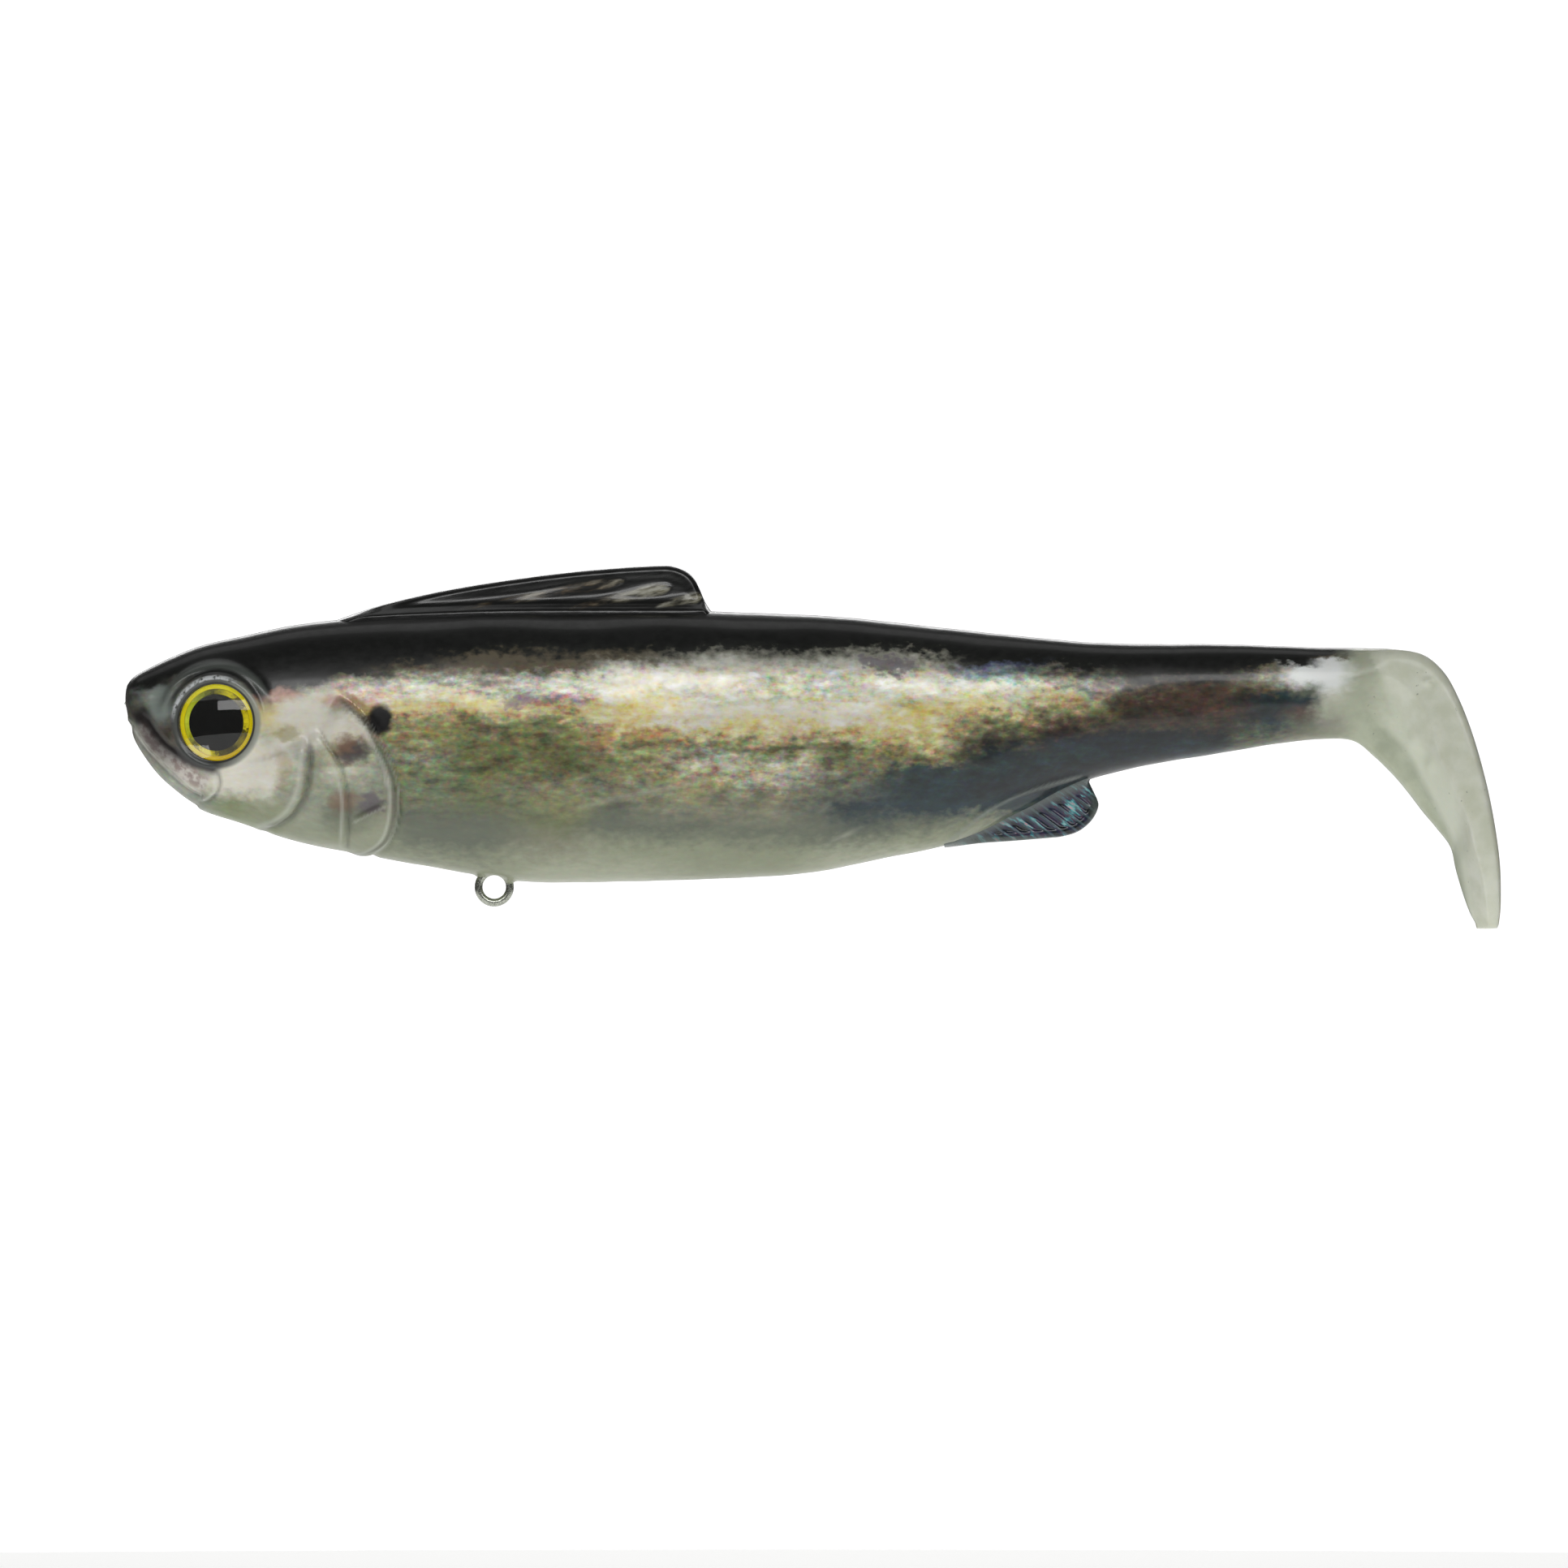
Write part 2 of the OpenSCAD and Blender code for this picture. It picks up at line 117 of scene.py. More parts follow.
def add(tree, kind, *inputs, out=0, stops=(), **settings):
    """Adds a node. Its inputs come in order, or as one dict. A hex string is a colour."""
    new = tree.nodes.new("ShaderNode" + kind)
    for name, value in settings.items():
        setattr(new, name, value)
    feed = inputs[0] if inputs and isinstance(inputs[0], dict) else dict(enumerate(inputs))
    for key, value in feed.items():
        if isinstance(value, bpy.types.NodeSocket):
            tree.links.new(value, new.inputs[key])
        else:
            new.inputs[key].default_value = as_colour(value)
    if stops:
        points = new.color_ramp.elements
        for place, colour in stops[1:-1]:
            points.new(place).color = as_colour(colour)
        for point, (place, colour) in ((points[0], stops[0]), (points[-1], stops[-1])):
            point.position, point.color = place, as_colour(colour)
    return new.outputs[out] if new.outputs else new


def new_material(name):
    """An empty material with a shader and an output, ready for its nodes."""
    material = bpy.data.materials.new(name)
    material.use_nodes = True
    tree = material.node_tree
    tree.nodes.clear()
    shader = add(tree, "BsdfPrincipled").node
    add(tree, "OutputMaterial", shader.outputs[0])
    return material, tree, shader


print("node helpers ready")

# %% [markdown]
# ## The camera
#
# The bait is seen square from its left flank through a long lens, so that it looks flat, as a
# catalogue shows it. A perspective camera far away does that, and keeps other views natural.

# %% Camera
NOSE_LIP = 0.45  # the soft nose stands this far ahead of the line tube's mouth
VIEW_WIDTH = 173.7  # what the picture spans at the bait
VIEW_CENTRE = (73.1 - NOSE_LIP, -9.7)  # along the fish and up
LENS = 600
SENSOR = 36
FLOOR_DROP = 80  # the floor lies this far below the bait

camera_data = bpy.data.cameras.new("side_camera")
camera_data.lens = LENS
camera_data.sensor_width = SENSOR
camera_data.clip_start = 0.01
camera_data.clip_end = 20
side_camera = bpy.data.objects.new("side_camera", camera_data)
distance = VIEW_WIDTH * LENS / SENSOR
side_camera.location = [v * MM for v in (VIEW_CENTRE[0], -distance, VIEW_CENTRE[1])]
side_camera.rotation_euler = (math.pi / 2, 0, 0)
bpy.context.collection.objects.link(side_camera)
bpy.context.scene.camera = side_camera
print("camera stands", round(distance), "mm away")

# %% [markdown]
# ## Floor and light
#
# A white floor and a white sky leave nothing to look at but the bait. Gloss needs something to
# reflect, so a long soft lamp hangs over the back, and a broad one stands above each flank. The sky
# looks white but lights the bait only weakly, so that the black back stays black.


# %% Floor
def white_floor(radius=0.38, sides=96):
    floor = bpy.data.meshes.new("floor")
    turns = [2 * math.pi * k / sides for k in range(sides)]
    rim = [(radius * math.cos(t), radius * math.sin(t), 0) for t in turns]
    floor.from_pydata(rim, [], [tuple(range(sides))])
    thing = bpy.data.objects.new("floor", floor)
    thing.location = (VIEW_CENTRE[0] * MM, 0, cad_low.z - FLOOR_DROP * MM)
    bpy.context.collection.objects.link(thing)
    material, tree, shader = new_material("matt white card")
    grain = add(tree, "TexNoise", {"Scale": 300.0, "Detail": 2.0})
    shade = add(tree, "Mix", {0: grain, 6: "#f4f4f2", 7: "#fafaf8"}, **COLOURS)
    tree.links.new(shade, shader.inputs["Base Color"])
    shader.inputs["Roughness"].default_value = 0.9
    shader.inputs["Emission Color"].default_value = (1, 1, 1, 1)
    shader.inputs["Emission Strength"].default_value = 0.5
    floor.materials.append(material)
    thing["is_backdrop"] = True
    return thing


floor = white_floor()
print("floor at", round(floor.location.z / MM, 1), "mm")


# %% Light
def soft_lamp(name, power, size, place, aim=(70, 0, -5)):
    """A rectangular softbox that faces the bait. Sizes and places are in millimetres."""
    data = bpy.data.lights.new(name, "AREA")
    data.shape = "RECTANGLE"
    data.size, data.size_y = size[0] * MM, size[1] * MM
    data.energy = power
    lamp = bpy.data.objects.new(name, data)
    lamp.location = [v * MM for v in place]
    facing = Vector(aim) - Vector(place)
    lamp.rotation_euler = facing.to_track_quat("-Z", "Y").to_euler()
    bpy.context.collection.objects.link(lamp)
    return lamp


soft_lamp("top_softbox", 0.18, (700, 160), (70, 110, 400))
soft_lamp("front_softbox", 1.3, (640, 150), (60, -545, 262))
soft_lamp("rear_softbox", 1.0, (640, 150), (80, 545, 262))

world = bpy.data.worlds.new("white_studio")
world.use_nodes = True
sky = world.node_tree
sky.nodes.clear()
up = add(sky, "SeparateXYZ", add(sky, "TexCoord"), out=2)
glow = add(
    sky, "MapRange",
    {"Value": up, "From Min": -0.5, "From Max": 0.6, "To Min": 0.09, "To Max": 0.1},
)
shown = add(sky, "LightPath")
strength = add(sky, "Mix", {0: shown, 2: glow, 3: 1.15}, data_type="FLOAT")
backdrop = add(sky, "Background", {"Color": (1, 1, 1, 1), "Strength": strength})
add(sky, "OutputWorld", backdrop)
bpy.context.scene.world = world
bpy.context.scene.view_settings.view_transform = "Standard"

# %% [markdown]
# ## The shape of the fish
#
# The frame's segments were lofted: each cross-section runs from a lower point to an upper point of
# the fish's outline. The skin is the same loft, drawn much finer. Each row gives the upper point,
# the lower point, the half width, the level of the widest point, and how square the section is
# above and below it. Places are percentages of the length, the depth and the half width, which
# come from the frame.

# %% Sizes from the frame
front_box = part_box("body_front")
tail_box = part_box("boot_tail")
FISH_LENGTH = cad_high.x / MM + NOSE_LIP
PADDLE_DROP = 0.858  # the paddle hangs this share of the depth below the nose
FISH_DEPTH = -cad_low.z / MM / PADDLE_DROP
HALF_WIDTH = front_box[1].y / MM
HALF_PADDLE = tail_box[1].y / MM
print("length, depth, half width, half paddle:", FISH_LENGTH, FISH_DEPTH, HALF_WIDTH, HALF_PADDLE)

# %% Cross-sections
BODY_ROWS = [
    (0.00, 0.8, 0.00, -0.8, 4, 0.50, 2.0, 2.0),
    (0.25, 4.4, 0.25, -6.5, 19, 0.55, 2.0, 2.0),
    (0.8, 7.6, 0.45, -15.3, 31, 0.60, 2.0, 2.0),
    (1.7, 10.2, 1.7, -25.5, 40, 0.60, 2.0, 2.0),
    (3.3, 14.2, 3.3, -34, 51, 0.56, 2.1, 2.1),
    (5.6, 18.8, 5.6, -42, 62, 0.52, 2.2, 2.2),
    (8.5, 22.2, 8.5, -47, 72, 0.50, 2.2, 2.2),
    (12.5, 26.5, 12.5, -53.7, 82, 0.50, 2.2, 2.2),
    (17.7, 29.3, 17.7, -59, 92, 0.51, 2.2, 2.2),
    (25, 31, 25, -65.7, 99, 0.53, 2.2, 2.2),
    (30, 31.5, 30, -69, 100, 0.54, 2.2, 2.2),
    (37, 31.6, 37, -68.5, 100, 0.54, 2.2, 2.2),
    (44, 31.4, 44, -67.5, 96, 0.54, 2.2, 2.2),
    (50, 30, 50, -65.3, 90, 0.54, 2.2, 2.2),
    (55, 28, 55, -60.2, 83, 0.54, 2.2, 2.2),
    (60, 25.3, 60, -55, 76, 0.54, 2.2, 2.2),
    (64.6, 22.6, 64.6, -44.7, 68, 0.54, 2.2, 2.2),
    (69.2, 20.3, 69.2, -32.9, 61, 0.53, 2.2, 2.2),
    (73.5, 19.6, 73.5, -26.4, 55, 0.53, 2.2, 2.2),
    (78.7, 19.3, 78.7, -21.8, 49, 0.53, 2.2, 2.2),
    (83.3, 18.8, 83.3, -18, 45, 0.53, 2.2, 2.2),
    (87.3, 18.1, 87.3, -15.8, 43, 0.53, 2.2, 2.2),
]
BOOT_ROWS = [
    (90.2, 17.9, 89.4, -16.6, 53, 0.54, 2.2, 2.0),
    (92.5, 17.4, 90.9, -22.5, 59, 0.58, 2.4, 1.7),
    (94.4, 15.4, 92.3, -29.5, 67, 0.64, 2.8, 1.45),
    (95.8, 9.4, 93.4, -36.2, 77, 0.68, 3.2, 1.3),
    (96.8, 0.7, 94.4, -42.9, 86, 0.71, 3.6, 1.2),
    (97.8, -12, 95.4, -49, 95, 0.72, 4.0, 1.2),
    (98.7, -27.5, 96.4, -55.9, 100, 0.72, 4.0, 1.3),
    (99.4, -43.6, 96.8, -64.3, 99, 0.68, 4.0, 1.6),
    (99.9, -61, 97.3, -73, 89, 0.60, 3.6, 2.2),
    (100, -75.7, 97.8, -80, 71, 0.55, 3.2, 2.8),
    (99.9, -83.5, 98.2, -83.9, 53, 0.50, 3.0, 3.0),
    (99.8, -85.6, 98.3, -85.7, 46, 0.50, 3.0, 3.0),
]


def in_mm(row, half_width):
    """One row of percentages as millimetres behind the nose tip, up, and out."""
    x, z = FISH_LENGTH / 100, FISH_DEPTH / 100
    return (row[0] * x, row[1] * z, row[2] * x, row[3] * z, row[4] * half_width / 100, *row[5:])


ROWS = np.array([in_mm(r, HALF_WIDTH) for r in BODY_ROWS] + [in_mm(r, HALF_PADDLE) for r in BOOT_ROWS])
STOCK_END = len(BODY_ROWS) - 1  # the row where the boot begins
print(len(ROWS), "rows")


# %% A smooth curve through rows of numbers
def through(rows, t):
    """Catmull-Rom curve through the rows, at row numbers t that needn't be whole."""
    t = np.asarray(t, float)
    i = np.clip(np.floor(t).astype(int), 0, len(rows) - 2)
    u = (t - i)[:, None]
    a, b = rows[np.maximum(i - 1, 0)], rows[i]
    c, d = rows[i + 1], rows[np.minimum(i + 2, len(rows) - 1)]
    curve, twist = a - 2.5 * b + 2 * c - d / 2, 1.5 * b - 1.5 * c + d / 2 - a / 2
    return b + u * ((c - a) / 2 + u * (curve + u * twist))


def smooth(start, end, value):
    """0 before start, 1 after end, and an even curve between."""
    u = np.clip((value - start) / (end - start), 0, 1)
    return u * u * (3 - 2 * u)


row_numbers = np.linspace(0, STOCK_END + 1, 2000)
row_places = through(ROWS, row_numbers)[:, 0]


def back_at(x):
    """Height of the back at a place behind the nose tip."""
    return through(ROWS, np.interp(np.atleast_1d(x), row_places, row_numbers))[:, 1]


def belly_at(x):
    """Height of the belly at a place behind the nose tip."""
    return through(ROWS, np.interp(np.atleast_1d(x), row_places, row_numbers))[:, 3]


print("back and belly at 45 mm:", back_at(45).round(2), belly_at(45).round(2))

# %% [markdown]
# ### Two kinds of section
#
# A body section is a squarish ellipse. A section of the boot-shaped tail has creases: a thin keel
# in front, a flare that widens it, then a rim of even width that ends in a flat rear face. Both
# have the same number of points, so one turns into the other where the boot begins.

# %% Section points
HALF_POINTS = 120  # points on one half of a section, from belly to back
CREASE_ROWS = range(STOCK_END, len(ROWS))
KEEL_CREASE = (0.46, 0.40, 0.26, 0.20, 0.165, 0.13, 0.10, 0.06, 0.04, 0.03, 0.03, 0.03, 0.03)
RIM_CREASE = (0.85, 0.80, 0.74, 0.66, 0.57, 0.48, 0.43, 0.44, 0.46, 0.52, 0.52, 0.52, 0.52)
KEEL_HALF = 1.7  # half thickness of the keel


def body_half(row):
    """Half a body section: share of the way from the lower to the upper point, and half width."""
    turn = np.linspace(math.pi, 0, HALF_POINTS + 1)
    upper = np.cos(turn) > 0
    power = 2 / np.where(upper, row[6], row[7])
    reach = np.where(upper, 1 - row[5], -row[5])
    level = row[5] + reach * np.abs(np.cos(turn)) ** power
    return level, row[4] * np.abs(np.sin(turn)) ** power


def boot_half(row, t):
    """Half a section of the boot, with its creases."""
    keel = np.interp(t, CREASE_ROWS, KEEL_CREASE)
    rim = np.interp(t, CREASE_ROWS, RIM_CREASE)
    full = row[4]
    thin = min(KEEL_HALF, full * 0.5)
    corner = 0.88
    corners = (0.0, 0.10, 0.30, 0.55, 0.76, 0.86, 1.0)
    q = np.linspace(0, 1, HALF_POINTS + 1)
    level = np.interp(q, corners, (0.0, keel * 0.3, keel, rim, corner, 1.0, 1.0))
    width = np.interp(q, corners, (0.0, thin * 0.9, thin * 1.15, full, full * 1.02, full * 0.8, 0.0))
    front_round = q < corners[1]
    turn = np.clip(q / corners[1], 0, 1) * math.pi / 2
    level = np.where(front_round, keel * 0.3 * (1 - np.cos(turn)), level)
    width = np.where(front_round, thin * 0.9 * np.sin(turn), width)
    rear_round = (q > corners[4]) & (q < corners[5])
    turn = np.clip((q - corners[4]) / (corners[5] - corners[4]), 0, 1) * math.pi / 2
    level = np.where(rear_round, corner + (1 - corner) * np.sin(turn), level)
    width = np.where(rear_round, full * (0.8 + 0.22 * np.cos(turn)), width)
    return level, width


def eased(values, passes):
    """Rounds the corners of a row of numbers a little and keeps its two ends."""
    for _ in range(passes):
        values[1:-1] = (values[:-2] + 2 * values[1:-1] + values[2:]) / 4
    return values


def section(row, t):
    """All points of one section, in millimetres from the nose tip, starting at the belly."""
    level, width = body_half(row)
    share = float(smooth(STOCK_END + 0.1, STOCK_END + 2.2, t))
    if share > 0:
        boot_level, boot_width = boot_half(row, t)
        level = level + share * (eased(boot_level, 3) - level)
        width = width + share * (eased(boot_width, 3) - width)
    x = row[2] + level * (row[0] - row[2])
    z = row[3] + level * (row[1] - row[3])
    left = np.stack([x, -width, z], axis=1)
    right = left[-2:0:-1] * (1, -1, 1)
    return np.concatenate([left, right])


print("points round a section:", len(section(ROWS[5], 5)))

# %% [markdown]
# Sections stand close together where there is detail, at the head and at the hanger, and further
# apart along the plain flank. Two of them lie exactly where the skin will be cut into three.

# %% Stations along the fish
CUTS = (92 + NOSE_LIP, 121 + NOSE_LIP)  # each is in a stretch that doesn't bend


def stations():
    """Row numbers of all sections, and the numbers of the two sections at the cuts."""
    runs = [(0, 33, 0.21), (33, 38, 0.5), (38, 45, 0.25), (45, CUTS[0], 0.6), (CUTS[0], CUTS[1], 0.6)]
    places = np.concatenate([np.linspace(a, b, round((b - a) / step), endpoint=False) for a, b, step in runs])
    places = np.concatenate([places, np.linspace(CUTS[1], ROWS[STOCK_END][0], 22, endpoint=False)])
    body = np.interp(places, row_places, row_numbers)
    boot = np.linspace(STOCK_END, len(ROWS) - 1, 110)
    cuts = [int(np.argmin(np.abs(places - c))) for c in CUTS]
    return np.concatenate([body, boot]), cuts


station_rows, cut_numbers = stations()
station_values = through(ROWS, station_rows)
base_skin = np.array([section(row, t) for row, t in zip(station_values, station_rows)])
print("skin grid:", base_skin.shape, "cuts at sections", cut_numbers)


# %% Which way the skin faces
def outward(grid):
    """Unit normals of a grid of closed sections."""
    along = np.gradient(grid, axis=0)
    around = np.roll(grid, -1, axis=1) - np.roll(grid, 1, axis=1)
    normal = np.cross(along, around)
    size = np.linalg.norm(normal, axis=2, keepdims=True)
    normal = normal / np.maximum(size, 1e-9)
    centre = grid.mean(axis=1, keepdims=True)
    facing = np.sign(np.sum(normal * (grid - centre), axis=(1, 2)))
    return normal * facing[:, None, None]


base_normals = outward(base_skin)
print("back faces up:", base_normals[200, HALF_POINTS].round(2))

# %% [markdown]
# ## Modelling the head
#
# The mould was carved: gill covers, cheeks, a mouth and eye sockets stand in low relief. The
# relief is a height above the plain skin at each point of the side view. Most of it is seams: a
# curve with a raised plate on its front side and a fine groove behind it.


# %% Distance to a curve
def distance_to(x, z, points):
    """Signed distance to a smooth curve (positive on its left), and how far along the curve."""
    rows = np.array(points, float)
    curve = through(rows, np.linspace(0, len(rows) - 1, 12 * len(rows)))
    best = np.full(x.shape, 1e9)
    signed, along = np.zeros(x.shape), np.zeros(x.shape)
    start = 0.0
    for a, b in zip(curve[:-1], curve[1:]):
        step = b - a
        size = float(np.hypot(*step))
        u = np.clip(((x - a[0]) * step[0] + (z - a[1]) * step[1]) / size**2, 0, 1)
        dx, dz = x - a[0] - u * step[0], z - a[1] - u * step[1]
        d = np.hypot(dx, dz)
        near = d < best
        best = np.where(near, d, best)
        signed = np.where(near, np.where(step[0] * dz - step[1] * dx > 0, d, -d), signed)
        along = np.where(near, start + u * size, along)
        start += size
    return signed, along, start


def seam(x, z, points, plate=0.0, reach=4.0, groove=0.0, ridge=0.0, wide=0.3, fade=(1.5, 1.5)):
    """Height of one carved line. The plate is on the right of the curve as it is drawn."""
    d, along, length = distance_to(x, z, points)
    d = -d
    ends = smooth(0, fade[0], along) * smooth(0, fade[1], length - along)
    step = plate * smooth(-wide, wide, d) * np.exp(-(np.maximum(d, 0) / reach) ** 2)
    cut = groove * np.exp(-(((d + wide) / wide) ** 2))
    bead = ridge * np.exp(-((d / wide) ** 2))
    return ends * (step - cut + bead)


def dent(x, z, centre, size, depth):
    """A soft hollow, or a bump if the depth is negative."""
    return -depth * np.exp(-(((x - centre[0]) / size[0]) ** 2) - ((z - centre[1]) / size[1]) ** 2)


level_line = [(0, 0), (10, 0)]
print("at 1 mm above a level line:", distance_to(np.array([5.0]), np.array([1.0]), level_line)[0])

# %% [markdown]
# The curves below are drawn from top to bottom, or from nose to tail, in millimetres behind the
# nose tip and above it. The gill cover has a double edge, and the cheek plate stands proudest.

# %% Carved lines
GILL_EDGE = [
    (23.4, 0.2), (25.3, -1.1), (27.0, -2.8), (29.0, -6.2), (30.1, -8.8), (30.4, -11.5), (30.1, -14.2),
    (29.2, -16.2), (27.2, -17.4), (24.4, -17.6),
]
GILL_BEAD = [(24.4, -1.2), (26.8, -3.2), (28.0, -5.7), (28.9, -8.2), (29.2, -10.4)]
GILL_FRONT = [(21.3, -3.4), (22.4, -5.4), (23.8, -7.5), (24.5, -9.9), (24.8, -12.3), (24.5, -17.2)]
CHEEK_EDGE = [
    (19.5, -3.9), (20.4, -5.9), (20.3, -8.7), (19.9, -10.7), (18.9, -12.6), (17.4, -13.8),
    (15.8, -14.4), (14.4, -14.9),
]
THROAT_FOLD = [(29.4, -11.7), (27.5, -12.6), (25.2, -13.8)]
MOUTH = [(0.2, -2.8), (1.0, -3.9), (2.2, -5.7), (3.6, -7.2), (5.9, -9.4), (7.5, -10.5), (9.0, -11.3)]
MOUTH_CORNER = [(10.1, -8.1), (10.4, -9.4), (10.1, -10.6), (9.2, -11.4), (8.0, -11.5)]
FIN_FILLET = [
    (106.6, -8.7), (103.0, -9.7), (100.4, -10.5), (97.9, -11.5), (95.3, -13.0), (93.2, -14.6),
    (91.0, -16.3),
]
JAW_STRIPE = [(1.6, -1.6), (3.2, -4.0), (5.0, -5.8), (7.6, -7.1), (10.2, -8.0)]


def carved(x, z):
    """Height of the carving, in millimetres, at points of the side view."""
    height = seam(x, z, GILL_EDGE, plate=0.62, reach=4.0, groove=0.22, wide=0.32, fade=(2.5, 3.5))
    height += seam(x, z, GILL_BEAD, ridge=0.34, wide=0.28)
    height += seam(x, z, GILL_FRONT, plate=0.42, reach=2.6, groove=0.14, wide=0.32)
    height += seam(x, z, CHEEK_EDGE, plate=0.76, reach=4.6, groove=0.22, wide=0.42, fade=(3.0, 3.2))
    height += seam(x, z, THROAT_FOLD, plate=-0.4, reach=1.8, wide=0.3)
    height += seam(x, z, MOUTH, plate=-0.42, reach=1.6, groove=0.34, wide=0.22, fade=(0.2, 0.6))
    height += seam(x, z, MOUTH_CORNER, plate=0.34, reach=1.2, groove=0.16, wide=0.26)
    height += seam(x, z, JAW_STRIPE, groove=0.18, wide=0.35)
    height += dent(x, z, (3.9, 0.0), (1.3, 1.0), 0.3)
    height += dent(x, z, (16.5, -6.5), (3.0, 4.0), -0.18)
    height += dent(x, z, (8.0, -10.2), (1.3, 0.7), -0.22)
    height += dent(x, z, (26.6, -14.9), (1.6, 1.1), -0.2)
    height += seam(x, z, FIN_FILLET, plate=-0.34, reach=1.6, ridge=0.16, wide=0.34, fade=(2.0, 1.5))
    height += dent(x, z, (144.2, 1.6), (0.6, 0.45), -0.34)
    height += dent(x, z, (142.9, -4.9), (0.8, 1.2), -0.36)
    height += dent(x, z, (144.6, -7.6), (0.5, 0.9), -0.22)
    return height


side_x, side_z = base_skin[..., 0], base_skin[..., 2]
relief = carved(side_x, side_z)
print("relief from %.2f to %.2f mm" % (relief.min(), relief.max()))

# %% [markdown]
# ### Round the eyes
#
# Each eye sits in a round socket with a raised collar, under a ridge of brow. The flesh round it is
# first pressed level with the eye, so that the collar stands even all round. The frame's pupils say
# where the eyes are.

# %% Eye places
EYE_TILT = math.radians(15)  # the eyes look a little forward
SOCKET_DEPTH = 1.1
PUPIL_HEIGHT = 0.625  # of the pupil's middle over the socket's floor
SOCKET_RADIUS = 4.27
SIDES = {"left": -1, "right": 1}


def eye_place(side):
    """Centre of an eye on the flank, its outward direction, and the direction to the rear."""
    low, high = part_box("eye_pupil_" + side)
    way = SIDES[side]
    outward_way = np.array([-math.sin(EYE_TILT), way * math.cos(EYE_TILT), 0])
    rearward = np.array([math.cos(EYE_TILT), way * math.sin(EYE_TILT), 0])
    pupil = np.array((low + high) / 2) / MM + (NOSE_LIP, 0, 0)
    return pupil + outward_way * (SOCKET_DEPTH - PUPIL_HEIGHT), outward_way, rearward


EYES = {side: eye_place(side) for side in SIDES}


def around_eye(points, side):
    """Distance from the eye's axis, height above its plane, and angle from the rear upwards."""
    centre, outward_way, rearward = EYES[side]
    away = points - centre
    across, up_way = away @ rearward, away[..., 2]
    return np.hypot(across, up_way), away @ outward_way, np.degrees(np.arctan2(up_way, across))


print("left eye at", EYES["left"][0].round(2))


# %% Sockets and brows
def set_eyes(points):
    """Presses the skin level round both eyes, then raises the collars and the brows."""
    for side, way in SIDES.items():
        radius, height, angle = around_eye(points, side)
        facing = smooth(0.2, 1.5, way * points[..., 1])
        collar = 0.10 + 0.24 * np.exp(-(((radius - 4.85) / 0.36) ** 2))
        lift = (1 - smooth(4.9, 6.6, radius)) * (collar - height)
        top = smooth(5, 40, angle) * smooth(180, 140, angle)
        brow = 0.42 * top * np.exp(-(((radius - 6.4) / 0.45) ** 2))
        orbit = -0.20 * np.exp(-(((radius - 5.6) / 0.28) ** 2)) * (0.35 + 0.65 * top)
        points = points + (facing * (lift + brow + orbit))[..., None] * EYES[side][1]
    return points


# %% [markdown]
# ### The hanger's collars, and an uneven hand
#
# Soft plastic climbs the hanger's wire a little where it leaves the belly. The flanks aren't
# perfect either: they roll by less than a tenth of a millimetre, and the gloss shows it.

# %% Collars and rolling flanks
ring_low, ring_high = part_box("hanger_wire")
RING_OUTSIDE = 2.17
HANGER = ((ring_low.x + ring_high.x) / 2 / MM + NOSE_LIP, ring_low.z / MM + RING_OUTSIDE)


def climb_wire(points):
    """Draws the belly down round the two places where the wire comes out."""
    x, y, z = np.moveaxis(points, -1, 0)
    under = smooth(2.0, 0.5, z - HANGER[1])
    for way in (-1, 1):
        near = np.exp(-(((x - HANGER[0] - way * 1.62) / 0.5) ** 2) - (y / 0.75) ** 2)
        z = z - 0.72 * near * under
    return np.stack([x, y, z], axis=-1)


def rolls(x, y, z):
    """Slow unevenness of the flanks, in millimetres."""
    slow = np.sin(x / 3.1 + 0.5 * z) * np.sin(z / 1.9 + 0.7 + 0.2 * y)
    quick = np.sin(x / 1.3 - z / 1.7 + 1.1) * np.sin(x / 2.3 + z / 0.9)
    along = smooth(28, 36, x) * smooth(150, 120, x)
    return along * (0.05 * slow + 0.022 * quick)


lift = relief + rolls(*np.moveaxis(base_skin, -1, 0))
skin = climb_wire(set_eyes(base_skin + lift[..., None] * base_normals))
skin_normals = outward(skin)
print("skin spans", skin.min(axis=(0, 1)).round(2), skin.max(axis=(0, 1)).round(2))

# %% [markdown]
# ## From points to closed meshes
#
# Every soft piece is a row of closed rings with a cap at both ends, so it is a closed body that
# could be printed or cast. Faces that meet at more than a set angle keep a crisp edge, and all
# others are shaded smooth.

# %% Mesh from rings
SHARP = math.radians(42)


def to_metres(points):
    """From millimetres behind the nose tip to the frame's metres."""
    return (np.asarray(points) - (NOSE_LIP, 0, 0)) * MM


def crisp_edges(mesh, angle=SHARP):
    """Smooth shading, with a crisp edge wherever two faces meet at more than the angle."""
    shape = bmesh.new()
    shape.from_mesh(mesh)
    for face in shape.faces:
        face.smooth = True
    for edge in shape.edges:
        edge.smooth = len(edge.link_faces) == 2 and edge.calc_face_angle(0) < angle
    shape.to_mesh(mesh)
    shape.free()


